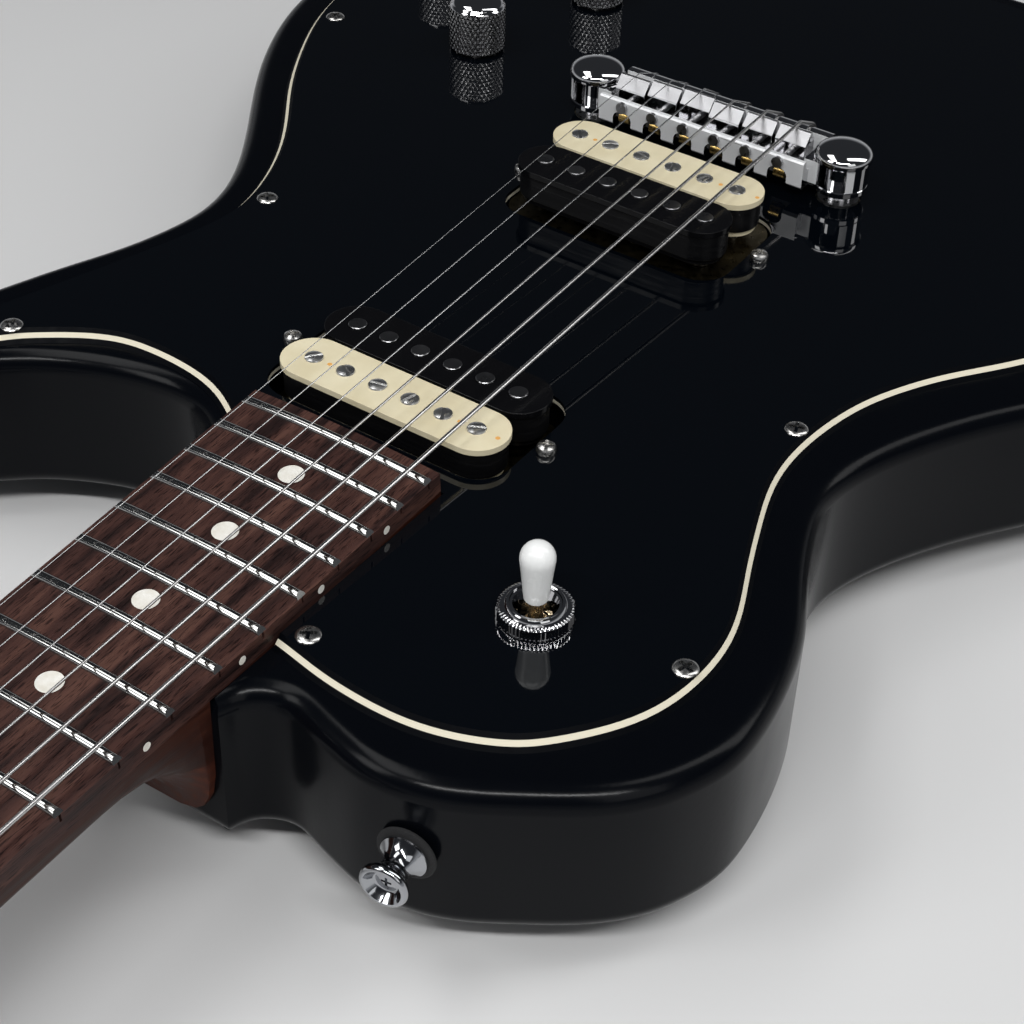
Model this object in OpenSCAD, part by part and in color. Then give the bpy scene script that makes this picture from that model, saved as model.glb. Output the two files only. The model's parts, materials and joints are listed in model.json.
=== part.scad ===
// Six-string solid electric guitar, single cutaway, set neck, full-face guard.
// X points to the treble side, Y along the strings to the headstock, Z out of the face.
// The origin is on the flat back, on the centre line, under the scale datum at the bridge.

/* [Body] */
// Thickness of the wooden body
body_t = 43; // [40:0.5:46]
// Rounding of the front edge
front_round = 5.5; // [4:0.5:6]
// Rounding of the back edge
back_round = 5.5; // [4:0.5:6]
// Where the neck heel meets the body, along Y
seam_y = 253; // [252:0.5:254]

/* [Guard] */
// Thickness of the three-ply guard
guard_t = 3; // [2.4:0.1:3.4]
// Width of the bevel round the guard
guard_bevel = 3; // [1:0.5:4]

/* [Neck] */
// Scale length, nut to saddle datum
scale_len = 628.65; // [620:0.05:635]
// Number of frets
fret_count = 22; // [21:1:22]
// Backward pitch of the neck, degrees
neck_angle = 2.58; // [2.2:0.02:3]
// Height of the fingerboard above the guard at the last fret
board_rise = 6.8; // [6.5:0.1:8]
// Fingerboard thickness at its centre
board_t = 6.4; // [6:0.1:6.6]
// Fingerboard width at the nut
nut_w = 43; // [42:0.5:44]
// Fingerboard width at its end
board_end_w = 55.5; // [54:0.5:56]
// Radius of the fingerboard's face
board_radius = 406; // [305:1:508]
// Neck thickness with the board, at the nut
neck_t_nut = 20.5; // [19.5:0.5:22]
// Neck thickness with the board, before the heel
neck_t_heel = 22.5; // [22:0.5:24]

/* [Pickups] */
// Centre of the neck pickup along Y
neck_pickup_y = 144; // [143:0.5:146]
// Centre of the bridge pickup along Y
bridge_pickup_y = 38.5; // [37:0.5:40]
// Neck pickup's top above the guard
neck_pickup_rise = 6; // [4:0.5:7]
// Bridge pickup's top above the guard
bridge_pickup_rise = 12.7; // [10:0.1:13]
// Distance between the two pole rows of a pickup
pole_rows = 17.8; // [17.4:0.1:18.5]
// Pole spacing of the neck pickup
neck_pole_pitch = 9.9; // [9.5:0.05:10.2]
// Pole spacing of the bridge pickup
bridge_pole_pitch = 10.3; // [10:0.05:10.4]

/* [Bridge] */
// Spacing of the two bridge studs
stud_spacing = 82.5; // [82:0.5:83]
// Place of the studs along Y
stud_y = -4.2; // [-5:0.1:-3.5]
// String spacing at the saddles
saddle_pitch = 10.4; // [10.2:0.1:10.6]
// Height of a middle string's centre above the guard, at its saddle
string_rise = 19; // [18.5:0.1:20]

/* [Controls] */
// Diameter of a control knob
knob_d = 17.8; // [16:0.2:18.4]
// Height of a knob's knurled barrel
knob_barrel = 14.4; // [12:0.2:16]
// Height of a knob's domed top
knob_dome = 2.6; // [1.5:0.1:4]
// Length of the switch's white tip
tip_len = 15.8; // [13:0.2:18]

/* [Tuners] */
// Diameter of a string post
post_d = 6; // [5.8:0.1:6.2]
// Distance between the posts along one side
post_pitch = 40; // [38:1:42]
// Turns of string on each post
wraps = 2.5; // [1.5:0.5:3]

/* [Hidden] */
$fn = 48;

// Clearances: a running fit, and a seat that only has to go together
run_gap = 0.05;
seat_gap = 0.02;

guard_z = body_t + guard_t;
board_z = guard_z + board_rise;
last_fret_y = scale_len * pow(2, -fret_count / 12);
board_over = 4.4;
strings_n = 6;
string_d = [1.168, 0.914, 0.66, 0.432, 0.33, 0.254];

// Outline of the body from the neck seam round the bass side, the tail, the treble side and the cutaway
body_points = [
    [-28.5, seam_y], [-31.5, 246.6], [-39, 243.2], [-50, 246], [-64, 249], [-80, 246.4], [-97, 236.6],
    [-111, 226], [-119.8, 214], [-125, 196], [-119.8, 163], [-107, 134.7], [-100.6, 113], [-105.5, 91],
    [-119.5, 64.6], [-143, 31], [-164, -24], [-164.5, -82], [-134, -135], [-64, -161], [0, -164],
    [64, -161], [140, -134.5], [171.5, -78], [168, -19], [150.7, 23], [117, 73.5], [106, 101], [109, 127],
    [118.3, 152.5], [127, 179.5], [130.6, 193.5], [128.3, 202.3], [120.6, 206.3], [111.8, 203.4], [102.5, 195.3],
    [90, 185], [70, 175.8],
    [51, 173.2], [38, 179.8], [30.8, 193], [28.8, 214], [28.5, seam_y]
];

// Middle of the guard's bevel, in the same order, from the bass side of the neck to its treble side
guard_points = [
    [-27.9, 232], [-44.6, 235], [-63.2, 235.3], [-78.3, 231.4], [-91, 223.4], [-105.4, 201.8], [-107.4, 174.5],
    [-96.8, 145.4], [-87.6, 115], [-90.4, 84], [-101, 60.4], [-116.4, 39.1], [-138.5, 2], [-150.5, -35],
    [-149.5, -82], [-121, -124.5], [-62, -147], [0, -150.5], [62, -147.5], [127, -126], [157, -80],
    [153, -17], [131.9, 29.3], [105.8, 67.1], [93.6, 100], [97.5, 127], [107, 159], [112.4, 176.5], [115.4, 185],
    [115.4, 190.4], [110.8, 193], [104.6, 189.2], [97.4, 181.2], [79.2, 169], [62, 166.8], [44, 169.7], [28.6, 178.8]
];

guard_screw_spots = [
    [101.7, 181.4], [88.9, 93.9], [143, -6.2], [-32.9, 227.7], [-104.5, 188.8], [-83.8, 100.3],
    [-131.5, 2], [-144, -76], [-92, -133], [0, -144.5], [94, -134.5], [151.5, -76]
];

// Controls on the guard
switch_xy = [-69.3, 193.9];
knob_xy = [[94, -16.7], [133, -53.2], [81.2, -67.9]];
jack_y = -50;
jack_z = body_t / 2;
jack_face_x = 168.5;
jack_bore_r = 3.25;

// Smooth curve through points, sampled a set number of times a stretch
function slope_at(p, i) = let (a = p[max(i - 1, 0)], b = p[min(i + 1, len(p) - 1)])
    (b - a) / (norm(p[i] - a) + norm(b - p[i]));
function on_curve(p, i, t) = let (d = norm(p[i + 1] - p[i]), m = slope_at(p, i) * d, n = slope_at(p, i + 1) * d)
    (2 * t^3 - 3 * t^2 + 1) * p[i] + (t^3 - 2 * t^2 + t) * m + (3 * t^2 - 2 * t^3) * p[i + 1] + (t^3 - t^2) * n;
function curve(p, steps) = [
    for (i = [0 : len(p) - 2]) for (k = [0 : steps - 1]) on_curve(p, i, k / steps), p[len(p) - 1]
];
function outward(p, i) = let (t = slope_at(p, i)) [t.y, -t.x] / norm(t);
function shifted(p, d) = [for (i = [0 : len(p) - 1]) p[i] + d * outward(p, i)];
function at_height(p, z) = [for (q = p) [q.x, q.y, z]];

// Point in the neck's frame: across, along from the last fret, and above the board
function neck_point(x, s, h) = [
    x,
    last_fret_y + s * cos(neck_angle) + h * sin(neck_angle),
    board_z - s * sin(neck_angle) + h * cos(neck_angle)
];
function fret_s(n) = scale_len * pow(2, -n / 12) - last_fret_y;
nut_s = fret_s(0);
function board_half(s) = (board_end_w + (nut_w - board_end_w) * (s + board_over) / (nut_s + board_over)) / 2;

module on_neck() translate([0, last_fret_y, board_z]) rotate([-neck_angle, 0, 0]) children();

// Closed skin over rings of equal count, each ring anticlockwise seen from the last one
module loft(rings) {
    n = len(rings[0]);
    m = len(rings);
    polyhedron(
        points = [for (r = rings) each r],
        faces = [
            [for (i = [0 : n - 1]) i],
            [for (i = [n - 1 : -1 : 0]) (m - 1) * n + i],
            for (k = [0 : m - 2]) for (i = [0 : n - 1]) let (j = (i + 1) % n)
                each [[k * n + i, (k + 1) * n + i, (k + 1) * n + j], [k * n + i, (k + 1) * n + j, k * n + j]]
        ]
    );
}

// Round bar between two points
module rod(p, q, d) {
    v = q - p;
    translate(p) rotate([0, acos(v.z / norm(v)), atan2(v.y, v.x)]) cylinder(d = d, h = norm(v));
}

// Flat shapes: a bar with round ends, and a rectangle with round corners
module stadium(l, w) {
    square([l - w, w], center = true);
    for (s = [-1, 1]) translate([s * (l - w) / 2, 0]) circle(d = w);
}
module round_rect(l, w, r) {
    square([l - 2 * r, w], center = true);
    square([l, w - 2 * r], center = true);
    for (a = [-1, 1]) for (b = [-1, 1]) translate([a * (l / 2 - r), b * (w / 2 - r)]) circle(r);
}

// Body: one block with rounded edges, routed from the front under the guard

mortise_w = 40;
mortise_y = 176;
mortise_z = 13;
route_z = 22;
pickup_route = [94, 42];
bushing_d = 12;
bushing_z = 19;
pilot_d = 2.6;
pilot_depth = 12;
strap_spots = [[[-74.8, 248.4, 23.5], 8], [[0, -164.1, 21.5], 180]];
strap_hole = [3.6, 26];
control_deep = 9;
switch_deep = 9;
jack_bore_d = 14.6;
jack_cup_d = 27;

module body_skin() {
    edge = curve(body_points, 3);
    over = 0.5;
    flat = 0.2;
    loft([
        at_height(shifted(edge, -back_round - flat), -over),
        for (a = [60, 30, 0]) at_height(shifted(edge, -back_round * (1 - cos(a))), back_round * (1 - sin(a))),
        for (a = [0, 30, 60])
            at_height(shifted(edge, -front_round * (1 - cos(a))), body_t - front_round * (1 - sin(a))),
        at_height(shifted(edge, -front_round - flat), body_t + over)
    ]);
}

module at_strap(spot) translate(spot[0]) rotate([-90, 0, spot[1]]) children();

module control_route() {
    for (k = knob_xy) translate(k) circle(14);
    polygon([[67.6, -70.5], [84.5, -81.5], [136.5, -66.8], [142.8, -43.2], [103.8, -6.6], [80.4, -13.4]]);
}

module body() color("#16181c") difference() {
    body_skin();
    translate([-250, -250, -5]) cube([500, 600, 5]);
    translate([-250, -250, body_t]) cube([500, 600, 5]);
    translate([-mortise_w / 2, mortise_y, mortise_z]) cube([mortise_w, seam_y - mortise_y + 5, body_t]);
    for (y = [neck_pickup_y, bridge_pickup_y]) translate([0, y, route_z])
        linear_extrude(body_t) round_rect(pickup_route.x, pickup_route.y, 8);
    translate([-6, bridge_pickup_y, route_z + 6]) cube([12, neck_pickup_y - bridge_pickup_y, body_t]);
    translate([40, bridge_pickup_y - 8, route_z + 6]) rotate([0, 0, -42]) translate([0, -6, 0]) cube([66, 12, body_t]);
    translate([-40, neck_pickup_y + 10, route_z + 6]) rotate([0, 0, 132]) translate([0, -5, 0]) cube([40, 10, body_t]);
    translate([0, 0, control_deep]) linear_extrude(body_t) control_route();
    translate([switch_xy.x, switch_xy.y, switch_deep]) cylinder(d = 38, h = body_t);
    for (s = [-1, 1]) translate([s * stud_spacing / 2, stud_y, bushing_z]) cylinder(d = bushing_d, h = body_t);
    for (p = guard_screw_spots) translate([p.x, p.y, body_t - pilot_depth]) cylinder(d = pilot_d, h = body_t);
    for (s = strap_spots) at_strap(s) translate([0, 0, -strap_hole[1]]) cylinder(d = strap_hole[0], h = 40);
    translate([110, jack_y, jack_z]) rotate([0, 90, 0]) cylinder(d = jack_bore_d, h = 90);
    translate([jack_face_x - 3, jack_y, jack_z]) rotate([0, 90, 0]) cylinder(d = jack_cup_d, h = 30);
}

// Neck: shaft, stacked heel, tenon and flat dropped headstock in one piece of wood

heel_full_s = 80;
heel_start_s = 108;
heel_foot_z = 5;
head_drop = 12;
head_t = 14;
head_len = 176;
head_back = head_drop + head_t;
nut_len = 5;
rod_slot = [6.4, 10.4];
rod_s = [24, 440];
post_hole_d = 10;

heel_depth = (board_z - heel_full_s * sin(neck_angle) - heel_foot_z) / cos(neck_angle);
function shaft_depth(s) = neck_t_nut + (neck_t_heel - neck_t_nut) * (nut_s - s) / (nut_s - heel_start_s);
function heel_curve(s) = let (u = min(1, max(0, (heel_start_s - s) / (heel_start_s - heel_full_s)))) 1 - sqrt(1 - u * u);
function neck_depth(s) = s > nut_s ? neck_t_nut + (head_back - neck_t_nut) * min(1, (s - nut_s) / 24)
    : shaft_depth(s) + (heel_depth - shaft_depth(s)) * heel_curve(s);
function neck_half(s) = s > nut_s ? nut_w / 2 + 7 * pow(min(1, (s - nut_s) / 26), 2) : board_half(s);

// One slice of the shaft: flat on top, a rounded back that squares up at the heel
function neck_slice(s) = let (w = neck_half(s), d = neck_depth(s) - board_t, e = 0.88 - 0.5 * heel_curve(s), over = 1) [
    [-w, s, over - board_t], [w, s, over - board_t],
    for (a = [0 : 15 : 180])
        [w * sign(cos(a)) * pow(abs(cos(a)), e), s, -board_t - d * pow(abs(sin(a)), e)]
];

module neck_shaft() difference() {
    on_neck() loft([for (s = [70, 80, 80.6, 82.5, 85.5, 90, 96, 102, 108, 138, 200, 280, 360, 430, nut_s, 460, 468, 480])
        neck_slice(s)]);
    translate([-100, 100, -50]) cube([200, seam_y - 100, 150]);
}

head_side = [[21.5, nut_s - 4], [22.4, nut_s + 10], [30, nut_s + 30], [36.5, nut_s + 50], [36, nut_s + 95],
    [32.5, nut_s + 148], [24, nut_s + 168], [0, nut_s + head_len]];
post_x = 22;
function post_s(i) = nut_s + 53 + post_pitch * (i < 3 ? i : 5 - i);
function post_side(i) = i < 3 ? -1 : 1;

module headstock() on_neck() translate([0, 0, -head_back]) linear_extrude(head_t) {
    right = curve(head_side, 5);
    polygon(concat(right, [for (i = [len(right) - 2 : -1 : 0]) [-right[i].x, right[i].y]]));
}

module board_shape(h) linear_extrude(h) polygon([
    [-board_end_w / 2, -board_over], [board_end_w / 2, -board_over], [nut_w / 2, nut_s], [-nut_w / 2, nut_s]
]);

module neck_riser() intersection() {
    on_neck() translate([0, 0, -board_t - 12]) board_shape(13.5);
    translate([-50, 100, body_t]) cube([100, seam_y - 100 + 1, 30]);
}

module neck() color("#6b3a22") difference() {
    union() {
        neck_shaft();
        translate([-mortise_w / 2, mortise_y, mortise_z]) cube([mortise_w, seam_y - mortise_y + 1, board_z - mortise_z]);
        neck_riser();
        headstock();
    }
    on_neck() {
        translate([-60, -60, -board_t]) cube([120, nut_s + nut_len + 61, 60]);
        translate([-60, 0, 0]) rotate([90, 0, 90]) linear_extrude(120) polygon(concat(
            [for (a = [0 : 15 : 90]) [nut_s + nut_len + 1 + 14 * (1 - cos(a)), -board_t - (head_drop - board_t) * sin(a)]],
            [[nut_s + head_len + 10, -head_drop], [nut_s + head_len + 10, 40], [nut_s + nut_len + 1, 40]]
        ));
        translate([-rod_slot.x / 2, rod_s[0], -board_t - rod_slot.y]) cube([rod_slot.x, rod_s[1] - rod_s[0], 40]);
        for (i = [0 : strings_n - 1]) translate([post_side(i) * post_x, post_s(i), -head_back - 1])
            cylinder(d = post_hole_d, h = head_t + 2);
    }
}

// Two-way truss rod: two bars side by side in the slot, joined by a block at each end
module truss_rod() color("#8a8d90") on_neck() {
    d = 4.6;
    block = 12;
    for (h = [0, d + 0.6]) translate([0, rod_s[0] + 1, -board_t - rod_slot.y + 0.4 + d / 2 + h])
        rotate([-90, 0, 0]) cylinder(d = d, h = rod_s[1] - rod_s[0] - 2);
    for (s = [rod_s[0] + 0.5, rod_s[1] - 0.5 - block])
        translate([-3, s, -board_t - rod_slot.y + 0.2]) cube([6, block, rod_slot.y - 0.4]);
}

// Fingerboard, frets, inlays and nut

fret_w = 2.6;
fret_h = 1.2;
tang = [0.5, 1.5];
dot_d = 6.3;
dot_deep = 2;
side_dot_d = 2.2;
dot_frets = [3, 5, 7, 9, 15, 17, 19, 21];
octave_fret = 12;
octave_gap = 13;
function between(n) = (fret_s(n) + fret_s(n - 1)) / 2;

module board_blank() intersection() {
    translate([0, 0, -board_t]) board_shape(board_t + 1);
    translate([0, -20, -board_radius]) rotate([-90, 0, 0]) cylinder(r = board_radius, h = nut_s + 40, $fn = 360);
}

module dots(extra) {
    for (n = dot_frets) translate([0, between(n), -dot_deep]) cylinder(d = dot_d, h = dot_deep + extra);
    for (x = [-1, 1]) translate([x * octave_gap, between(octave_fret), -dot_deep])
        cylinder(d = dot_d, h = dot_deep + extra);
    for (n = concat(dot_frets, [octave_fret])) translate([-board_half(between(n)) - extra, between(n), -3.4])
        rotate([0, 90, 0]) cylinder(d = side_dot_d, h = 2 + extra);
}

module fingerboard() color("#4a3026") on_neck() difference() {
    board_blank();
    dots(2);
    for (n = [1 : fret_count]) translate([-50, fret_s(n) - 0.3, -tang[1] - 1.2]) cube([100, 0.6, 10]);
}

module frets() color("#c9ccd0") on_neck() for (n = [1 : fret_count]) {
    half = asin((board_half(fret_s(n)) - 0.3) / board_radius);
    translate([0, fret_s(n), -board_radius]) rotate([90, half - 90, 0])
        rotate_extrude(angle = 2 * half, $fn = 360) translate([board_radius, 0]) polygon([
            [-tang[1], -tang[0] / 2], [0, -tang[0] / 2], [0, -fret_w / 2], [0.45 * fret_h, -0.46 * fret_w],
            [0.85 * fret_h, -0.28 * fret_w], [fret_h, 0], [0.85 * fret_h, 0.28 * fret_w],
            [0.45 * fret_h, 0.46 * fret_w], [0, fret_w / 2], [0, tang[0] / 2], [-tang[1], tang[0] / 2]
        ]);
}

module position_markers() color("#e9e6da") on_neck() intersection() {
    board_blank();
    dots(2);
}

// Path of each string, bass to treble
nut_string_pitch = 7.1;
nut_action = 1.7;
compensation = [3.6, 2.6, 1.6, 2.8, 1.8, 1];
function spread(i) = i - (strings_n - 1) / 2;
function nut_spot(i) = let (x = nut_string_pitch * spread(i))
    neck_point(x, nut_s, nut_action + string_d[i] / 2 - x * x / (2 * board_radius));
function crest(i) = let (x = saddle_pitch * spread(i))
    [x, -compensation[i], guard_z + string_rise - x * x / (2 * board_radius)];

module nut() color("#ece7d8") difference() {
    on_neck() translate([-nut_w / 2 + 0.2, nut_s, -board_t]) cube([nut_w - 0.4, nut_len, board_t + nut_action + 0.9]);
    for (i = [0 : strings_n - 1]) {
        p = nut_spot(i);
        q = entry(i);
        w = string_d[i] + 2 * run_gap;
        rod(p - 0.02 * (q - p), q, w);
        hull() for (u = [-0.02, 1]) for (h = [0, 6]) translate(p + u * (q - p) + [0, 0, h]) sphere(0.01, $fn = 4);
    }
}

// Pickups: two coils on a plate, one row of screws and one of slugs, with a bar magnet below

flange_l = 66.6;
flange_w = 16.8;
flange_t = 1.7;
bobbin_h = 11;
magnet_h = 3.2;
plate_t = 1.5;
plate_size = [69.5, 38];
ear_drop = 8;
ear_x = 39;
ear_w = 12;
leg_x = plate_size.x / 2 - 2.25;
height_screw_d = 3;
pole_head_d = 4.8;
pole_head_h = 3;
pole_shank_d = 3.3;
slug_d = 4.9;
core_w = 6.4;
pole_proud = 0.5;

// Each pickup is [centre along Y, top height, side of the screw row, pole pitch]
neck_set = [neck_pickup_y, guard_z + neck_pickup_rise, 1, neck_pole_pitch];
bridge_set = [bridge_pickup_y, guard_z + bridge_pickup_rise, -1, bridge_pole_pitch];
function row_y(set, row) = set[0] + row * set[2] * pole_rows / 2;
function plate_z(set) = set[1] - bobbin_h - magnet_h - plate_t;

module along_poles(set) for (i = [0 : strings_n - 1]) translate([set[3] * spread(i), 0, 0]) children();

module baseplate(set) color("#b59a5c") translate([0, set[0], plate_z(set)]) difference() {
    union() {
        linear_extrude(plate_t) round_rect(plate_size.x, plate_size.y, 8);
        for (side = [0, 1]) mirror([side, 0, 0]) translate([leg_x, -ear_w / 2, -ear_drop]) {
            cube([plate_t, ear_w, ear_drop + 0.5]);
            cube([ear_x + 4 - leg_x, ear_w, plate_t]);
        }
    }
    for (s = [-1, 1]) translate([s * ear_x, 0, -ear_drop - 1])
        cylinder(d = height_screw_d + 2 * run_gap, h = plate_t + 2);
    translate([0, row_y(set, 1) - set[0], -1]) along_poles(set) cylinder(d = pole_shank_d + 0.4, h = plate_t + 2);
}

// The screw bobbin's holes are stepped for the screw heads; the lower flange stays inside the tape
module bobbin(set, row, pole_d, step_d) translate([0, row_y(set, row), set[1] - bobbin_h]) difference() {
    union() {
        translate([0, 0, bobbin_h - flange_t]) linear_extrude(flange_t) stadium(flange_l, flange_w);
        linear_extrude(flange_t) stadium(flange_l - 3, flange_w - 3);
        linear_extrude(bobbin_h) stadium(flange_l - flange_w + core_w + 2, core_w + 2);
    }
    translate([0, 0, -1]) along_poles(set) cylinder(d = pole_d + 2 * seat_gap, h = bobbin_h + 2);
    translate([0, 0, bobbin_h - pole_head_h - seat_gap]) along_poles(set) cylinder(d = step_d + 2 * seat_gap, h = bobbin_h);
}

module coils(set) color("#101010") for (row = [-1, 1])
    translate([0, row_y(set, row), set[1] - bobbin_h + flange_t]) linear_extrude(bobbin_h - 2 * flange_t) difference() {
        stadium(flange_l - 1.4, flange_w - 1.4);
        stadium(flange_l - flange_w + core_w + 2 + 2 * seat_gap, core_w + 2 + 2 * seat_gap);
    }

module poles(set) color("#b9bcc0") {
    translate([0, row_y(set, 1), 0]) along_poles(set) {
        difference() {
            translate([0, 0, set[1] - pole_head_h]) cylinder(d = pole_head_d, h = pole_head_h + pole_proud);
            rotate([0, 0, 35 * set[2]]) translate([-5, -0.4, set[1] + pole_proud - 0.8]) cube([10, 0.8, 2]);
        }
        translate([0, 0, plate_z(set) - 5]) cylinder(d = pole_shank_d, h = set[1] - plate_z(set) + 5 - 1);
    }
    translate([0, row_y(set, -1), set[1] - bobbin_h - magnet_h]) along_poles(set)
        cylinder(d = slug_d, h = bobbin_h + magnet_h + pole_proud);
    translate([-31, set[0] - 5.5, plate_z(set) + plate_t]) cube([62, 11, magnet_h - seat_gap]);
}

module neck_pickup_baseplate() baseplate(neck_set);
module neck_pickup_screw_bobbin() color("#efe3bf") bobbin(neck_set, 1, pole_shank_d, pole_head_d);
module neck_pickup_slug_bobbin() color("#141414") bobbin(neck_set, -1, slug_d, slug_d);
module neck_pickup_coils() coils(neck_set);
module neck_pickup_poles() poles(neck_set);
module bridge_pickup_baseplate() baseplate(bridge_set);
module bridge_pickup_screw_bobbin() color("#efe3bf") bobbin(bridge_set, 1, pole_shank_d, pole_head_d);
module bridge_pickup_slug_bobbin() color("#141414") bobbin(bridge_set, -1, slug_d, slug_d);
module bridge_pickup_coils() coils(bridge_set);
module bridge_pickup_poles() poles(bridge_set);

module at_height_screws() for (set = [neck_set, bridge_set]) for (s = [-1, 1])
    translate([s * ear_x, set[0], 0]) children();

module pickup_height_screws() color("#c6c8cb") at_height_screws() {
    translate([0, 0, route_z + 2]) cylinder(d = height_screw_d, h = guard_z - route_z - 1);
    translate([0, 0, guard_z]) difference() {
        rotate_extrude() polygon([[0, 0], [2.3, 0], [2.5, 0.9], [2.1, 2], [1.2, 2.6], [0, 2.8]]);
        for (a = [20, 110]) rotate([0, 0, a]) translate([-1.5, -0.35, 1.5]) cube([3, 0.7, 3]);
    }
}

// Rubber sleeves on the height screws, squeezed between the guard and the pickup's ears
module pickup_sleeves() color("#2a2a2a") for (set = [neck_set, bridge_set]) for (s = [-1, 1]) {
    foot = plate_z(set) - ear_drop + plate_t;
    translate([s * ear_x, set[0], foot]) difference() {
        cylinder(d = 6.4, h = body_t - foot);
        translate([0, 0, -1]) cylinder(d = height_screw_d + 0.4, h = body_t);
    }
}

// Guard: three-ply sheet over the whole face, bevelled round its outer edge

pickup_hole = [71.5, 40];
guard_neck_gap = 0.6;
switch_hole_d = 12;
pot_bush_d = 9.5;

module guard_sheet() {
    edge = curve(guard_points, 4);
    half = board_end_w / 2 + guard_neck_gap;
    foot_y = last_fret_y - board_over - guard_neck_gap;
    pocket = [[half, foot_y], [-half, foot_y]];
    over = 0.5;
    lean = guard_bevel / guard_t;
    loft([for (z = [-over, guard_t + over])
        at_height(concat(shifted(edge, guard_bevel / 2 - z * lean), pocket), body_t + z)]);
}

module pickguard() color("#0c0d10") difference() {
    guard_sheet();
    translate([-250, -250, body_t - 5]) cube([500, 600, 5]);
    translate([-250, -250, guard_z]) cube([500, 600, 5]);
    translate([0, 0, body_t - 1]) {
        for (y = [neck_pickup_y, bridge_pickup_y]) translate([0, y, 0])
            linear_extrude(9) round_rect(pickup_hole.x, pickup_hole.y, 9);
        at_height_screws() cylinder(d = height_screw_d + 0.4, h = 9);
        translate(switch_xy) cylinder(d = switch_hole_d, h = 9);
        for (k = knob_xy) translate(k) cylinder(d = pot_bush_d + 0.2, h = 9);
        for (s = [-1, 1]) translate([s * stud_spacing / 2, stud_y, 0]) cylinder(d = bushing_d + 1, h = 9);
        for (p = guard_screw_spots) translate(p) cylinder(d = screw_shank_d + 0.4, h = 9);
    }
    for (p = guard_screw_spots) translate([p.x, p.y, guard_z - screw_sink])
        cylinder(d1 = screw_shank_d + 0.4, d2 = screw_head_d, h = screw_sink + 0.001);
}

screw_head_d = 6;
screw_shank_d = 2.4;
screw_sink = 1.6;
module guard_screws() color("#c6c8cb") for (p = guard_screw_spots) translate([p.x, p.y, guard_z]) rotate_extrude()
    polygon([[0, -12], [screw_shank_d / 2, -10.5], [screw_shank_d / 2, -screw_sink - 0.1],
        [screw_head_d / 2 - 0.1, -0.1], [screw_head_d / 2 - 0.1, 0.1], [2.1, 0.75], [1, 1], [0, 1.05]]);

// Bridge: one bar on two studs; strings anchor in its front notches, pass under and wrap over its back

bar_half = 34;
bar_front = 6;
bar_low = 4.2;
rim_top = 12.8;
rim_in = 4.4;
trough_floor = 9.4;
trough_back = -9.6;
nose = [-11, 9.2];
nose_r = 5;
notch_d = 4.8;
notch_wide = 1.4;
ball_spot = [3, 6.6];
ball_d = 4.2;
string_hole_d = 2.8;
ear_d = 15.4;
ear_low = 5.4;
ear_high = 12.4;
stud_neck_d = 9;
screw_level = 10.9;
saddle_screw_d = 2;
saddle_w = 9.8;
saddle_fore = 3.2;
saddle_aft = 2.2;
string_air = 0.2;

module across(half) translate([-half, 0, guard_z]) rotate([90, 0, 90]) linear_extrude(2 * half) children();

module bridge() color("#c9ccd1") difference() {
    union() {
        across(bar_half) polygon(concat(
            [[bar_front, bar_low + 0.8], [bar_front, rim_top - 0.5], [bar_front - 0.5, rim_top], [rim_in, rim_top],
                [rim_in, trough_floor], [trough_back, trough_floor], [trough_back, nose.y + nose_r - 0.2]],
            [for (a = [80 : 10 : 270]) nose + nose_r * [cos(a), sin(a)]],
            [[bar_front - 0.8, bar_low]]
        ));
        for (s = [-1, 1]) translate([s * stud_spacing / 2, stud_y, guard_z + ear_low]) {
            cylinder(d = ear_d, h = ear_high - ear_low);
            translate([s < 0 ? 0 : -9, -6.5, 0]) cube([9, 13, ear_high - ear_low]);
        }
    }
    for (s = [-1, 1]) translate([s * stud_spacing / 2, stud_y, guard_z]) {
        cylinder(d = stud_neck_d + 0.1, h = 20);
        translate([-stud_neck_d / 2 - 0.05, 0, 0]) cube([stud_neck_d + 0.1, 20, 20]);
    }
    for (i = [0 : strings_n - 1]) translate([saddle_pitch * spread(i), 0, guard_z]) {
        for (s = [-1, 1]) translate([s * notch_wide / 2, 0.8, ball_spot.y]) rotate([-90, 0, 0]) cylinder(d = notch_d, h = 20);
        translate([-notch_wide / 2, 0.8, 0]) cube([notch_wide, 20, ball_spot.y + notch_d / 2]);
        translate([-(notch_wide + notch_d) / 2, 0.8, 0]) cube([notch_wide + notch_d, 20, ball_spot.y]);
        translate([0, -30, ball_spot.y]) rotate([-90, 0, 0]) cylinder(d = string_hole_d, h = 40);
        translate([0, 0, screw_level]) rotate([-90, 0, 0]) cylinder(d = saddle_screw_d + 0.1, h = 20);
        translate([0, trough_back - 2, screw_level]) rotate([-90, 0, 0]) cylinder(d = saddle_screw_d + 0.1, h = 5);
    }
}

// Studs: domed head over the ear, a waist in the ear's slot, a collar below, and a thread
module bridge_studs() color("#d3d5d8") for (s = [-1, 1]) translate([s * stud_spacing / 2, stud_y, guard_z])
    rotate_extrude() polygon(concat(
        [[0, bushing_z - guard_z + 2], [4, bushing_z - guard_z + 2], [4, 3.4], [ear_d / 2, 3.4],
            [ear_d / 2, ear_low - run_gap], [stud_neck_d / 2, ear_low - run_gap],
            [stud_neck_d / 2, ear_high + run_gap], [8.3, ear_high + run_gap], [8.3, ear_high + 1.4]],
        [for (a = [20 : 10 : 90]) [8.3 * cos(a) + 0.2 * (1 - sin(a)), ear_high + 1.4 + 3.6 * sin(a)]]
    ));

module stud_bushings() color("#9a9da1") for (s = [-1, 1]) translate([s * stud_spacing / 2, stud_y, 0]) difference() {
    translate([0, 0, bushing_z]) cylinder(d = bushing_d - 2 * seat_gap, h = guard_z - bushing_z + 0.4);
    translate([0, 0, bushing_z + 1]) cylinder(d = 8 + 2 * run_gap, h = guard_z);
}

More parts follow.
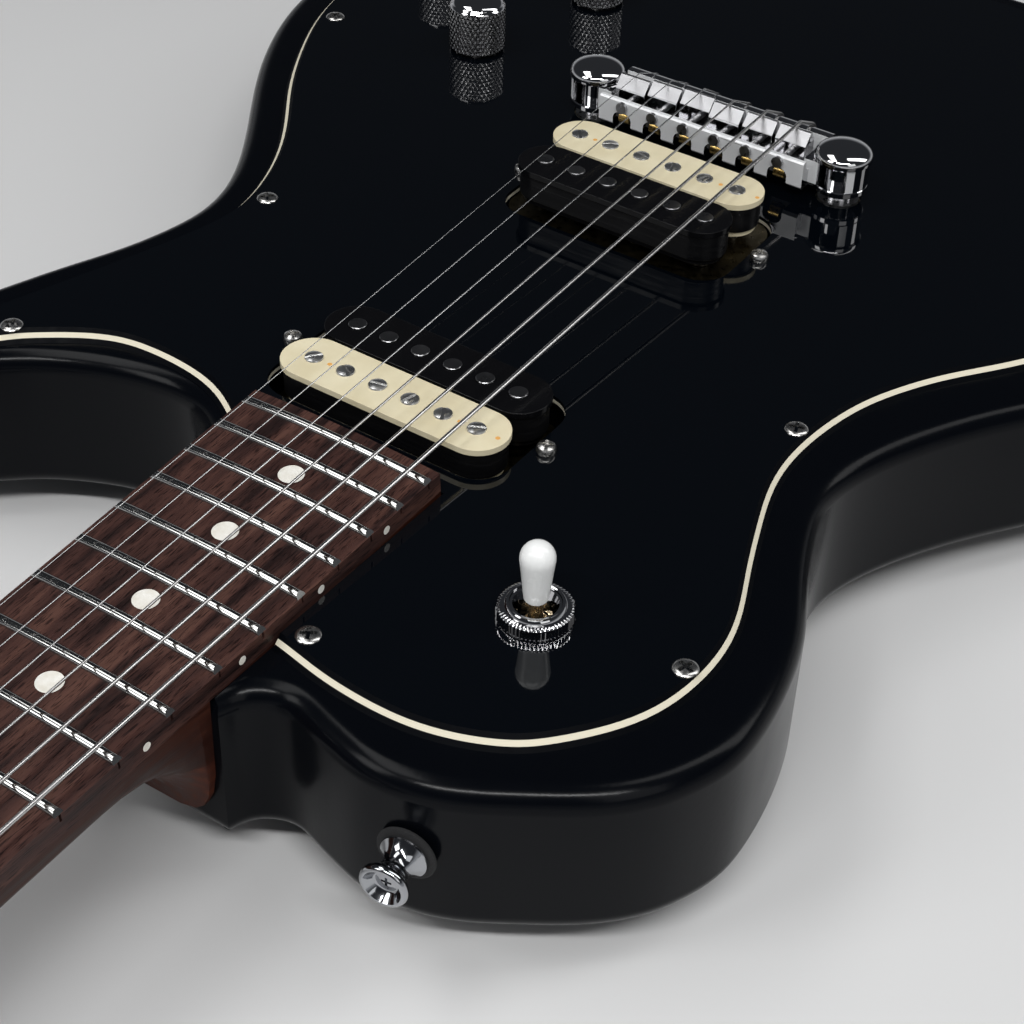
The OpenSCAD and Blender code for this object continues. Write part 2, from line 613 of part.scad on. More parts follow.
module saddle(i) color("#d8dade") {
    c = crest(i);
    top = c.z - guard_z - string_d[i] / 2 - string_air;
    translate([c.x, c.y, 0]) difference() {
        across(saddle_w / 2) polygon([
            [saddle_fore, trough_floor + run_gap], [saddle_fore, top - 3.4], [0.5, top - 0.1], [-0.3, top],
            [-saddle_aft, top - 3], [-saddle_aft, trough_floor + run_gap]
        ]);
        translate([0, -20, guard_z + screw_level]) rotate([-90, 0, 0])
            cylinder(d = saddle_screw_d + 2 * run_gap, h = 40);
    }
}
module saddle_1() saddle(0);
module saddle_2() saddle(1);
module saddle_3() saddle(2);
module saddle_4() saddle(3);
module saddle_5() saddle(4);
module saddle_6() saddle(5);

module saddle_screws() color("#b4b7bb") for (i = [0 : strings_n - 1])
    translate([saddle_pitch * spread(i), 0, guard_z + screw_level]) rotate([-90, 0, 0]) {
        translate([0, 0, trough_back - 1.8]) cylinder(d = saddle_screw_d, h = bar_front - trough_back + 2.5);
        translate([0, 0, bar_front + 0.02]) cylinder(d = 3.4, h = 1);
    }

// Strings: ball end in the notch, through the bar, round its back, over the saddle and nut, to the post

function post_gap(i) = post_d / 2 + string_d[i] / 2 + run_gap;
post_entry = [-5.2, -6.2, -7.4];
function entry_h(i) = post_entry[i < 3 ? i : 5 - i];
function entry(i) = neck_point(post_side(i) * (post_x - post_gap(i)), post_s(i), entry_h(i));
function wrap_r(i) = nose_r + string_d[i] / 2 + 0.05;
function nose_at() = [nose.x, nose.y + guard_z];
function leave_angle(i) = let (c = crest(i), v = [c.y, c.z] - nose_at()) atan2(v.y, v.x) + acos(wrap_r(i) / norm(v));
function hole_angle(i) = 180 + asin((nose.y - ball_spot.y) / wrap_r(i));
function wrap_point(i, a) = let (c = crest(i)) [c.x, nose_at().x + wrap_r(i) * cos(a), nose_at().y + wrap_r(i) * sin(a)];

// Points down the middle of a string, from its post to its ball end
wrap_steps = 7;
function string_path(i) = let (c = crest(i), a = leave_angle(i), b = hole_angle(i)) concat(
    [entry(i), nut_spot(i), c],
    [for (k = [0 : wrap_steps]) wrap_point(i, a + (b - a) * k / wrap_steps)],
    [[c.x, wrap_point(i, b).y + 2, guard_z + ball_spot.y], [c.x, ball_spot.x - ball_d / 2 + 0.3, guard_z + ball_spot.y]]
);
function unit(v) = v / norm(v);
function path_way(p, i) = unit((i > 0 ? unit(p[i] - p[i - 1]) : [0, 0, 0])
    + (i < len(p) - 1 ? unit(p[i + 1] - p[i]) : [0, 0, 0]));
function tube_ring(p, i, r) = let (t = path_way(p, i), u = unit([1, 0, 0] - t.x * t), v = cross(t, u))
    [for (a = [0 : 45 : 315]) p[i] + r * (cos(a) * u + sin(a) * v)];

module strings() color("#b8bbbf") for (i = [0 : strings_n - 1]) {
    path = string_path(i);
    loft([for (k = [0 : len(path) - 1]) tube_ring(path, k, string_d[i] / 2)]);
}

module ball_ends() color("#c49a3c") for (i = [0 : strings_n - 1])
    translate([saddle_pitch * spread(i), ball_spot.x, guard_z + ball_spot.y]) rotate([0, 90, 0]) difference() {
        cylinder(d = ball_d, h = 3.4, center = true);
        cylinder(d = 1.8, h = 6, center = true);
        translate([0, -ball_d, 0]) rotate([-90, 0, 0]) cylinder(d = string_d[i] + 0.2, h = ball_d);
    }

// Three-way toggle switch

lever_d = 3.4;
lever_pivot_z = guard_z - 3;
switch_bush_d = 11.6;
switch_bush_top = guard_z + 4;
switch_nut_d = 17.6;
switch_nut_h = 3.3;

module at_switch() translate([switch_xy.x, switch_xy.y, 0]) children();

module switch_frame() color("#a5a8ac") at_switch() {
    difference() {
        union() {
            translate([-14, -8, body_t - 2]) cube([28, 16, 2]);
            translate([0, 0, body_t - 1]) cylinder(d = switch_bush_d, h = switch_bush_top - body_t + 1);
        }
        translate([0, 0, body_t - 3]) cylinder(d = 8, h = 30);
        translate([0, 0, guard_z + 1]) cylinder(d1 = 8, d2 = 10.4, h = switch_bush_top - guard_z - 1 + 0.001);
    }
    for (s = [-1, 1]) translate([s * 13.2 - 0.8, -8, switch_deep + 8]) cube([1.6, 16, body_t - switch_deep - 9]);
    translate([-14, -8, switch_deep + 6]) cube([28, 16, 4]);
}

module switch_nut() color("#cfd1d4") at_switch() translate([0, 0, guard_z]) rotate_extrude() polygon([
    [switch_bush_d / 2 + run_gap, 0], [switch_nut_d / 2 - 0.4, 0], [switch_nut_d / 2, 0.4],
    [switch_nut_d / 2, switch_nut_h - 0.4], [switch_nut_d / 2 - 0.9, switch_nut_h], [7.2, switch_nut_h + 0.5],
    [6.6, switch_nut_h + 1.1], [switch_bush_d / 2 + run_gap, switch_nut_h + 1.1]
]);

module switch_lever() color("#c0a36a") at_switch() translate([0, 0, lever_pivot_z]) {
    translate([0, 0, -9]) cylinder(d = lever_d, h = 9 + 18);
    sphere(d = 6.4);
    rotate([90, 0, 0]) cylinder(d = 2, h = 7.4, center = true);
}

module switch_tip() color("#f4f5f3") at_switch() translate([0, 0, guard_z + 5.2]) difference() {
    rotate_extrude() polygon(concat(
        [[0, 0], [2.6, 0], [2.95, 0.5], [4, tip_len - 4]],
        [for (a = [10 : 10 : 90]) [4 * cos(a), tip_len - 4 + 4 * sin(a)]]
    ));
    translate([0, 0, -1]) cylinder(d = lever_d + 2 * seat_gap, h = lever_pivot_z + 18 - guard_z - 5.2 + 1 + 0.05);
}

// Volume and tone controls: small pots under the guard, domed knurled knobs on quarter-inch shafts

shaft_d = 6.35;
pot_can = [16.5, 8];
pot_can_z = body_t - 9;
nut_across = 12.7;
nut_high = 2.4;
knob_lift = 1;

module knob(k) color("#b9bcc0") translate([k.x, k.y, guard_z]) {
    difference() {
        rotate_extrude() polygon(concat(
            [[0, knob_lift], [knob_d / 2 - 0.4, knob_lift], [knob_d / 2, knob_lift + 0.4],
                [knob_d / 2, knob_lift + knob_barrel - 0.8], [knob_d / 2 - 0.8, knob_lift + knob_barrel]],
            [for (a = [15 : 15 : 90])
                [(knob_d / 2 - 0.8) * cos(a), knob_lift + knob_barrel + knob_dome * sin(a)]]
        ));
        cylinder(d = 15.4, h = knob_lift + 4);
        cylinder(d = shaft_d + 2 * seat_gap, h = 13.05);
    }
    translate([0, 0, pot_can_z - guard_z + 1.5]) cylinder(d = shaft_d, h = guard_z - pot_can_z - 1.5 + 13);
}
module neck_volume_knob() knob(knob_xy[0]);
module bridge_volume_knob() knob(knob_xy[1]);
module tone_knob() knob(knob_xy[2]);

module pots() color("#8f9296") for (k = knob_xy) translate([k.x, k.y, pot_can_z]) difference() {
    union() {
        cylinder(d = pot_can[0], h = pot_can[1]);
        translate([0, 0, pot_can[1]]) cylinder(d = pot_bush_d, h = guard_z + 4.4 - pot_can_z - pot_can[1]);
        translate([-6, -12, pot_can[1] - 3]) cube([12, 8, 1.2]);
    }
    translate([0, 0, 1]) cylinder(d = shaft_d + 2 * run_gap, h = 40);
}

module hex_nut() difference() {
    cylinder(d = nut_across / cos(30), h = nut_high, $fn = 6);
    translate([0, 0, -1]) cylinder(d = pot_bush_d + 2 * run_gap, h = nut_high + 2);
}
module control_nuts() color("#c6c8cb") {
    for (k = knob_xy) translate([k.x, k.y, guard_z]) hex_nut();
    translate([jack_face_x, jack_y, jack_z]) rotate([0, 90, 0]) hex_nut();
}

// Output socket for a quarter-inch plug, in a round plate let into the treble side
jack_barrel = [13.6, 28];
module output_jack() color("#a8abaf") translate([jack_face_x, jack_y, jack_z]) rotate([0, 90, 0]) difference() {
    union() {
        translate([0, 0, -3 - jack_barrel[1]]) cylinder(d = jack_barrel[0], h = jack_barrel[1]);
        translate([0, 0, -4]) cylinder(d = pot_bush_d, h = 4 + 3.4);
    }
    translate([0, 0, -jack_barrel[1]]) cylinder(r = jack_bore_r, h = 60);
}

module jack_plate() color("#15161a") translate([jack_face_x - 3, jack_y, jack_z]) rotate([0, 90, 0]) difference() {
    cylinder(d = jack_cup_d - 0.2, h = 3);
    translate([0, 0, -1]) cylinder(d = pot_bush_d + 0.1, h = 5);
}

// Strap buttons on the bass shoulder and the tail, each on a felt washer with its own wood screw
washer_t = 1.2;
module strap_buttons() color("#c8cacd") for (s = strap_spots) at_strap(s) {
    translate([0, 0, washer_t]) difference() {
        rotate_extrude() polygon([[0, 0], [5.4, 0], [5.6, 0.8], [4.4, 2], [3.4, 3.4], [3.2, 5], [3.6, 6.4],
            [4.8, 7.6], [5.6, 8.4], [5.6, 9.6], [5.1, 10.2], [0, 10.2]]);
        translate([0, 0, -1]) cylinder(d = 3.6, h = 20);
        translate([0, 0, 7.2]) cylinder(d = 6.6, h = 20);
    }
    translate([0, 0, -22]) cylinder(d = 3.4, h = 22 + washer_t + 7.6);
    translate([0, 0, washer_t + 7.25]) cylinder(d = 6.2, h = 2);
}

module strap_washers() color("#1c1c1e") for (s = strap_spots) at_strap(s) difference() {
    cylinder(d = 14, h = washer_t - seat_gap);
    translate([0, 0, -1]) cylinder(d = 4, h = 5);
}

// Tuning machines: sealed housings behind the headstock, bushings in front, posts and buttons that turn

housing = [20, 16, 11];
bushing_rim = [14, 2.4];
worm_d = 4.6;
worm_h = -head_back - 6.2;
housing_in = 9;
button_x = 47;
button_size = [14, 20, 8];

module at_post(i) on_neck() translate([post_side(i) * post_x, post_s(i), 0])
    rotate([0, 0, post_side(i) < 0 ? 180 : 0]) children();

// In a post's own frame X points out of the headstock's edge
module tuner_housings() color("#b3b6ba") for (i = [0 : strings_n - 1]) at_post(i) difference() {
    union() {
        translate([-housing_in, -housing.y / 2, -head_back - housing.z]) cube(housing);
        translate([housing.x - housing_in - 1, 0, worm_h]) rotate([0, 90, 0]) cylinder(d = 8, h = 5);
    }
    translate([0, 0, -head_back - 4.2]) cylinder(d = post_d + 2 * run_gap, h = 20);
    translate([4.2, 0, worm_h]) rotate([0, 90, 0]) cylinder(d = worm_d + 2 * run_gap, h = 40);
}

module tuner_bushings() color("#c9ccd0") for (i = [0 : strings_n - 1]) at_post(i) difference() {
    union() {
        translate([0, 0, -head_back + 1]) cylinder(d = post_hole_d - 2 * seat_gap, h = head_t - 1);
        translate([0, 0, -head_drop]) cylinder(d = bushing_rim[0], h = bushing_rim[1]);
    }
    translate([0, 0, -head_back]) cylinder(d = post_d + 2 * run_gap, h = 40);
}

// Winding: one helix of string above the stretch that comes in from the nut
wind_gap = 0.5;
rings_a_turn = 24;
function wind_point(i, k) = let (a = 360 * k / rings_a_turn, r = post_gap(i))
    [r * cos(a), r * sin(a), entry_h(i) + (string_d[i] + wind_gap) * (1 + k / rings_a_turn)];
function wind_rings(i) = [for (k = [0 : wraps * rings_a_turn]) let (p = wind_point(i, k), a = 360 * k / rings_a_turn)
    [for (j = [5 : -1 : 0]) p + string_d[i] / 2 * (cos(60 * j) * [cos(a), sin(a), 0] + [0, 0, sin(60 * j)])]];

least_turn_gap = min([for (i = [0 : strings_n - 1]) for (k = [0 : rings_a_turn])
    norm(wind_point(i, k + rings_a_turn) - wind_point(i, k)) - string_d[i]]);
echo(least_gap_between_turns = least_turn_gap);

module tuner_post(i) color("#cfd1d4") at_post(i) {
    top = entry_h(i) + 6.4;
    translate([0, 0, -head_back - 4]) cylinder(d = post_d, h = head_back + 4 + top - 0.6);
    translate([0, 0, top - 0.6]) cylinder(d1 = post_d, d2 = post_d - 1.2, h = 0.6);
    loft(wind_rings(i));
}
module tuner_post_1() tuner_post(0);
module tuner_post_2() tuner_post(1);
module tuner_post_3() tuner_post(2);
module tuner_post_4() tuner_post(3);
module tuner_post_5() tuner_post(4);
module tuner_post_6() tuner_post(5);

// Button: flat oval grip on the worm shaft
module tuner_button(i) color("#c9ccd0") at_post(i) translate([0, 0, worm_h]) {
    translate([4.6, 0, 0]) rotate([0, 90, 0]) cylinder(d = worm_d, h = button_x - post_x - button_size.x / 2 - 4.6 + 1);
    translate([button_x - post_x, 0, 0]) intersection() {
        translate([0, 0, -button_size.z / 2]) linear_extrude(button_size.z) stadium_grip();
        rotate([0, 90, 0]) cylinder(d = button_size.y, h = button_size.x, center = true);
        translate([0, -20, 0]) rotate([-90, 0, 0]) cylinder(d = 15.4, h = 40);
    }
}
module stadium_grip() rotate([0, 0, 90]) stadium(button_size.y, button_size.x);
module tuner_button_1() tuner_button(0);
module tuner_button_2() tuner_button(1);
module tuner_button_3() tuner_button(2);
module tuner_button_4() tuner_button(3);
module tuner_button_5() tuner_button(4);
module tuner_button_6() tuner_button(5);

body();
neck();
fingerboard();
frets();
position_markers();
nut();
truss_rod();
pickguard();
guard_screws();
neck_pickup_baseplate();
neck_pickup_screw_bobbin();
neck_pickup_slug_bobbin();
neck_pickup_coils();
neck_pickup_poles();
bridge_pickup_baseplate();
bridge_pickup_screw_bobbin();
bridge_pickup_slug_bobbin();
bridge_pickup_coils();
bridge_pickup_poles();
pickup_height_screws();
pickup_sleeves();
bridge();
bridge_studs();
stud_bushings();
saddle_screws();
saddle_1();
saddle_2();
saddle_3();
saddle_4();
saddle_5();
saddle_6();
strings();
ball_ends();
switch_frame();
switch_nut();
switch_lever();
switch_tip();
neck_volume_knob();
bridge_volume_knob();
tone_knob();
pots();
control_nuts();
output_jack();
jack_plate();
strap_buttons();
strap_washers();
tuner_housings();
tuner_bushings();
tuner_post_1();
tuner_post_2();
tuner_post_3();
tuner_post_4();
tuner_post_5();
tuner_post_6();
tuner_button_1();
tuner_button_2();
tuner_button_3();
tuner_button_4();
tuner_button_5();
tuner_button_6();
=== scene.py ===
import json
import math
import bpy
from mathutils import Matrix, Vector

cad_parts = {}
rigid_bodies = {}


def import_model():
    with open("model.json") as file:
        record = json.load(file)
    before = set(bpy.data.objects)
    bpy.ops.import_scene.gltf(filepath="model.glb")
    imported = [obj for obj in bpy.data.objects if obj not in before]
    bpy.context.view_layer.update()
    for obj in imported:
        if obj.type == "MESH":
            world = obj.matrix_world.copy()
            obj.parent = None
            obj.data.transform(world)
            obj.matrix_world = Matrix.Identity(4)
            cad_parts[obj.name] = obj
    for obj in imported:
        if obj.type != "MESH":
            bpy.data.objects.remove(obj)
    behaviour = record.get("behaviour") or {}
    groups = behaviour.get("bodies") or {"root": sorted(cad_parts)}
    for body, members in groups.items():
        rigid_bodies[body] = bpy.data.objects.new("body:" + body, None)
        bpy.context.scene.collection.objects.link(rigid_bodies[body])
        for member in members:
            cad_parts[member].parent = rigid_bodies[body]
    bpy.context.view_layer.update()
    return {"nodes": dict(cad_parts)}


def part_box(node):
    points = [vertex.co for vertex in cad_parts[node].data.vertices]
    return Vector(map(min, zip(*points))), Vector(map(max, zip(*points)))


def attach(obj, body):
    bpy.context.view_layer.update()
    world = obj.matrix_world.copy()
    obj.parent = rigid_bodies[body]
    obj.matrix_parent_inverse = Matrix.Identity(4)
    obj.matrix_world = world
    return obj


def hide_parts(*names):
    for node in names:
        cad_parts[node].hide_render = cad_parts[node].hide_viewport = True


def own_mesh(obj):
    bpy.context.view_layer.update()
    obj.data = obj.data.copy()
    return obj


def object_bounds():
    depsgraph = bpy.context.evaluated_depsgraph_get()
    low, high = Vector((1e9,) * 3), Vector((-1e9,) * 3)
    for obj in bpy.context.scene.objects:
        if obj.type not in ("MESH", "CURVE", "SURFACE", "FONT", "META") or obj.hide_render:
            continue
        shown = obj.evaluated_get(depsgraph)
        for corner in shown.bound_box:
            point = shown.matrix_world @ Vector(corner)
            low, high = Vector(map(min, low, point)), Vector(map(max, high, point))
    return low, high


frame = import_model()

# Body: a slab of light hardwood sawn to a single-cutaway outline, routed from the front for the pickups and
# controls and rounded over along both edges, then sprayed black and rubbed down to an even satin.
mm = 0.001
body_top = 43.0
body_round = 5.5
seam_y = 253.0
body_line = [
    (-28.5, seam_y), (-31.5, 246.6), (-39, 243.2), (-50, 246), (-64, 249), (-80, 246.4), (-97, 236.6),
    (-111, 226), (-119.8, 214), (-125, 196), (-119.8, 163), (-107, 134.7), (-100.6, 113), (-105.5, 91),
    (-119.5, 64.6), (-143, 31), (-164, -24), (-164.5, -82), (-134, -135), (-64, -161), (0, -164),
    (64, -161), (140, -134.5), (171.5, -78), (168, -19), (150.7, 23), (117, 73.5), (106, 101), (109, 127),
    (118.3, 152.5), (127, 179.5), (130.6, 193.5), (128.3, 202.3), (120.6, 206.3), (111.8, 203.4),
    (102.5, 195.3), (90, 185), (70, 175.8), (51, 173.2), (38, 179.8), (30.8, 193), (28.8, 214),
    (28.5, seam_y)]
switch_spot = (-69.3, 193.9)
knob_spots = {
    "neck_volume_knob": (94, -16.7), "bridge_volume_knob": (133, -53.2), "tone_knob": (81.2, -67.9)}
pickup_y = {"neck": 144.0, "bridge": 38.5}
stud_spots = [(-41.25, -4.2), (41.25, -4.2)]
pickup_rout = {"low": 22, "length": 94, "width": 42, "radius": 8}
bushing_hole = {"low": 19, "radius": 6}
pot_rout = {"low": 9, "radius": 14}
switch_rout = {"low": 9, "radius": 19}
above_body = 60


def clear_selection():
    if bpy.context.mode != "OBJECT":
        bpy.ops.object.mode_set(mode="OBJECT")
    bpy.ops.object.select_all(action="DESELECT")


def take_up(piece):
    clear_selection()
    piece.select_set(True)
    bpy.context.view_layer.objects.active = piece


def name_piece(piece, name):
    piece.name = name
    piece.data.name = name
    return piece


def curve_slope(points, i):
    before = points[max(i - 1, 0)]
    after = points[min(i + 1, len(points) - 1)]
    reach = (points[i] - before).length + (after - points[i]).length
    return (after - before) / reach


def smooth_line(points, steps):
    spots = [Vector(p) for p in points]
    line = []
    for i in range(len(spots) - 1):
        reach = (spots[i + 1] - spots[i]).length
        leave = curve_slope(spots, i) * reach
        arrive = curve_slope(spots, i + 1) * reach
        for k in range(steps):
            t = k / steps
            line.append((2 * t**3 - 3 * t**2 + 1) * spots[i] + (t**3 - 2 * t**2 + t) * leave
                        + (3 * t**2 - 2 * t**3) * spots[i + 1] + (t**3 - t**2) * arrive)
    line.append(spots[-1])
    rounds = 6
    for _ in range(rounds):
        line = [line[0]] + [(a + 2 * b + c) / 4 for a, b, c in zip(line, line[1:], line[2:])] + [line[-1]]
    return line


def drawn_slab(name, line, low, high):
    clear_selection()
    bpy.ops.mesh.primitive_circle_add(vertices=len(line), radius=0.1, fill_type="NGON")
    slab = name_piece(bpy.context.object, name)
    for vertex, spot in zip(slab.data.vertices, line):
        vertex.co = (spot[0] * mm, spot[1] * mm, low * mm)
    bpy.ops.object.mode_set(mode="EDIT")
    bpy.ops.mesh.select_all(action="SELECT")
    bpy.ops.mesh.extrude_region_move(TRANSFORM_OT_translate={"value": (0, 0, (high - low) * mm)})
    bpy.ops.mesh.select_all(action="SELECT")
    bpy.ops.mesh.normals_make_consistent(inside=False)
    bpy.ops.object.mode_set(mode="OBJECT")
    return slab


def pick_edges(piece, wanted):
    take_up(piece)
    bpy.ops.object.mode_set(mode="EDIT")
    bpy.ops.mesh.select_mode(type="EDGE")
    bpy.ops.mesh.select_all(action="DESELECT")
    bpy.ops.object.mode_set(mode="OBJECT")
    spots = piece.data.vertices
    for edge in piece.data.edges:
        edge.select = wanted(spots[edge.vertices[0]].co / mm, spots[edge.vertices[1]].co / mm)
    bpy.ops.object.mode_set(mode="EDIT")


def apply_last(piece):
    take_up(piece)
    bpy.ops.object.modifier_apply(modifier=piece.modifiers[-1].name)


def join_up(pieces):
    clear_selection()
    for piece in pieces:
        piece.select_set(True)
    bpy.context.view_layer.objects.active = pieces[0]
    if len(pieces) > 1:
        bpy.ops.object.join()
    return bpy.context.view_layer.objects.active


def cut_away(piece, cutters):
    joined = join_up(cutters)
    cut = piece.modifiers.new("cut", "BOOLEAN")
    cut.operation = "DIFFERENCE"
    cut.solver = "EXACT"
    cut.object = joined
    apply_last(piece)
    bpy.data.objects.remove(joined, do_unlink=True)


def settle(piece, angle=30):
    take_up(piece)
    bpy.ops.object.shade_smooth_by_angle(angle=math.radians(angle))
    even = piece.modifiers.new("even_normals", "WEIGHTED_NORMAL")
    even.keep_sharp = True
    even.weight = 80
    apply_last(piece)


def round_bar(x, y, low, high, radius, sides=48):
    clear_selection()
    bpy.ops.mesh.primitive_cylinder_add(vertices=sides, radius=radius * mm, depth=(high - low) * mm,
                                        location=(x * mm, y * mm, (low + high) / 2 * mm))
    bpy.ops.object.transform_apply(location=True, rotation=True, scale=True)
    return bpy.context.object


def rounded_block(x, y, low, high, length, width, radius):
    corners = []
    for turn, sx, sy in ((0, 1, 1), (90, -1, 1), (180, -1, -1), (270, 1, -1)):
        for step in range(0, 91, 10):
            a = math.radians(turn + step)
            corners.append((x + sx * (length / 2 - radius) + radius * math.cos(a),
                            y + sy * (width / 2 - radius) + radius * math.sin(a)))
    return drawn_slab("cutter", corners, low, high)


def new_finish(name, colour, rough, metal=0.0):
    material = bpy.data.materials.new(name)
    material.use_nodes = True
    shader = material.node_tree.nodes["Principled BSDF"]
    shader.inputs["Base Color"].default_value = (*colour, 1)
    shader.inputs["Roughness"].default_value = rough
    shader.inputs["Metallic"].default_value = metal
    return material


def set_shine(material, amount):
    material.node_tree.nodes["Principled BSDF"].inputs["Specular IOR Level"].default_value = amount


def cloudy(material, grain_mm, stretch=(1, 1, 1), detail=3.0):
    tree = material.node_tree
    place = tree.nodes.new("ShaderNodeTexCoord")
    size = tree.nodes.new("ShaderNodeMapping")
    size.inputs["Scale"].default_value = [1 / (grain_mm * mm * s) for s in stretch]
    cloud = tree.nodes.new("ShaderNodeTexNoise")
    cloud.inputs["Scale"].default_value = 1.0
    cloud.inputs["Detail"].default_value = detail
    tree.links.new(place.outputs["Object"], size.inputs["Vector"])
    tree.links.new(size.outputs["Vector"], cloud.inputs["Vector"])
    return cloud.outputs["Fac"]


def vary_rough(material, pattern, low, high):
    tree = material.node_tree
    spread = tree.nodes.new("ShaderNodeMapRange")
    spread.inputs["From Min"].default_value = 0.3
    spread.inputs["From Max"].default_value = 0.7
    spread.inputs["To Min"].default_value = low
    spread.inputs["To Max"].default_value = high
    tree.links.new(pattern, spread.inputs["Value"])
    tree.links.new(spread.outputs["Result"], tree.nodes["Principled BSDF"].inputs["Roughness"])


def vary_colour(material, pattern, stops):
    tree = material.node_tree
    ramp = tree.nodes.new("ShaderNodeValToRGB")
    marks = ramp.color_ramp.elements
    while len(marks) < len(stops):
        marks.new(0.5)
    for mark, (place, colour) in zip(marks, stops):
        mark.position = place
        mark.color = (*colour, 1)
    tree.links.new(pattern, ramp.inputs["Fac"])
    tree.links.new(ramp.outputs["Color"], tree.nodes["Principled BSDF"].inputs["Base Color"])
    return ramp


def relief(material, pattern, height_mm, strength=1.0):
    tree = material.node_tree
    bump = tree.nodes.new("ShaderNodeBump")
    bump.inputs["Distance"].default_value = height_mm * mm
    bump.inputs["Strength"].default_value = strength
    tree.links.new(pattern, bump.inputs["Height"])
    tree.links.new(bump.outputs["Normal"], tree.nodes["Principled BSDF"].inputs["Normal"])


def pored(material, ramp, pattern, open_grain):
    tree = material.node_tree
    pores = tree.nodes.new("ShaderNodeValToRGB")
    pores.color_ramp.elements[0].position = 0.34
    pores.color_ramp.elements[0].color = (*open_grain, 1)
    pores.color_ramp.elements[1].position = 0.46
    pores.color_ramp.elements[1].color = (1, 1, 1, 1)
    deepen = tree.nodes.new("ShaderNodeMix")
    deepen.data_type = "RGBA"
    deepen.blend_type = "MULTIPLY"
    deepen.inputs["Factor"].default_value = 1.0
    tree.links.new(pattern, pores.inputs["Fac"])
    tree.links.new(ramp.outputs["Color"], deepen.inputs["A"])
    tree.links.new(pores.outputs["Color"], deepen.inputs["B"])
    tree.links.new(deepen.outputs["Result"], tree.nodes["Principled BSDF"].inputs["Base Color"])


def dress(piece, material):
    piece.data.materials.clear()
    piece.data.materials.append(material)


def two_tone(piece, material, wanted):
    piece.data.materials.append(material)
    for face in piece.data.polygons:
        face.material_index = 1 if wanted(face) else 0


def stand_for(piece, body, slot, *nodes):
    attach(piece, body)
    if nodes:
        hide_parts(*nodes)


satin_black = new_finish("satin_black", (0.0016, 0.0021, 0.0033), 0.3)
set_shine(satin_black, 0.1)
vary_rough(satin_black, cloudy(satin_black, 14), 0.17, 0.22)
relief(satin_black, cloudy(satin_black, 1.3, detail=1.0), 0.012)

body = drawn_slab("wooden_body", smooth_line(body_line, 9), 0, body_top)
for level in (0, body_top):
    pick_edges(body, lambda a, b: abs(a.z - level) < 0.01 and abs(b.z - level) < 0.01)
    bpy.ops.mesh.bevel(offset=body_round * mm, segments=9, profile=0.5, affect="EDGES", clamp_overlap=False)
bpy.ops.object.mode_set(mode="OBJECT")
routes = [rounded_block(0, y, high=above_body, **pickup_rout) for y in pickup_y.values()]
routes += [round_bar(x, y, high=above_body, **bushing_hole) for x, y in stud_spots]
routes += [round_bar(x, y, high=above_body, **pot_rout) for x, y in knob_spots.values()]
routes += [round_bar(*switch_spot, high=above_body, **switch_rout)]
cut_away(body, routes)
socket_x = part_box("jack_plate")[0].x / mm
socket_mid = (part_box("jack_plate")[0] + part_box("jack_plate")[1]) / 2 / mm
socket_place = Matrix.Translation(Vector((0, socket_mid.y, socket_mid.z)) * mm)
socket_turn = socket_place @ Matrix.Rotation(math.pi / 2, 4, "Y")
well_radius = 13.5
barrel_radius = 7.3
for inner, outer, radius in ((0, 30, well_radius), (-40, 1, barrel_radius)):
    bore = round_bar(0, 0, socket_x + inner, socket_x + outer, radius)
    bore.data.transform(socket_turn)
    cut_away(body, [bore])
settle(body, 40)
dress(body, satin_black)
stand_for(body, "guitar", "body_lacquer", "body")

# Guard: black, cream and black plastic sheet laminated and sawn to cover most of the face, its edge cut
# at a slant so that the cream layer shows as a line. It is screwed down over the routs, with clear holes
# for all that stands through it.
guard_top = 46.0
guard_line = [
    (-20, 231.4), (-27.9, 232), (-44.6, 235), (-63.2, 235.3), (-78.3, 231.4), (-91, 223.4), (-105.4, 201.8),
    (-107.4, 174.5), (-96.8, 145.4), (-87.6, 115), (-90.4, 84), (-101, 60.4), (-116.4, 39.1), (-138.5, 2),
    (-150.5, -35), (-149.5, -82), (-121, -124.5), (-62, -147), (0, -150.5), (62, -147.5), (127, -126),
    (157, -80), (153, -17), (131.9, 29.3), (105.8, 67.1), (93.6, 100), (97.5, 127), (107, 159),
    (112.4, 176.5), (115.4, 185), (115.4, 190.4), (110.8, 193), (104.6, 189.2), (97.4, 181.2),
    (79.2, 169), (62, 166.8), (44, 169.7), (28.6, 178.8), (22, 184)]
slant = 1.5
board_end_y = 172.0
board_end_half = 27.75
board_gap = 0.6
under_guard = 40
above_guard = 50
pickup_hole = {"length": 71.5, "width": 40, "radius": 9}
stud_hole_radius = 6.5
pot_hole_radius = 4.85
switch_hole_radius = 6


def pushed_out(line, step):
    moved = []
    for i, spot in enumerate(line):
        way = curve_slope(line, i)
        way.normalize()
        moved.append(spot + step * Vector((way.y, -way.x)))
    return moved


def lofted(name, rings, capped=True):
    across = len(rings[0])
    clear_selection()
    bpy.ops.mesh.primitive_grid_add(x_subdivisions=across, y_subdivisions=len(rings) - 1, size=0.1)
    piece = name_piece(bpy.context.object, name)
    spots = [spot for ring in rings for spot in (*ring, ring[0])]
    for vertex, spot in zip(piece.data.vertices, spots):
        vertex.co = spot
    bpy.ops.object.mode_set(mode="EDIT")
    bpy.ops.mesh.select_all(action="SELECT")
    bpy.ops.mesh.remove_doubles(threshold=0.000001)
    if capped:
        bpy.ops.mesh.select_all(action="SELECT")
        bpy.ops.mesh.fill_holes(sides=0)
    bpy.ops.mesh.select_all(action="SELECT")
    bpy.ops.mesh.normals_make_consistent(inside=False)
    bpy.ops.object.mode_set(mode="OBJECT")
    return piece


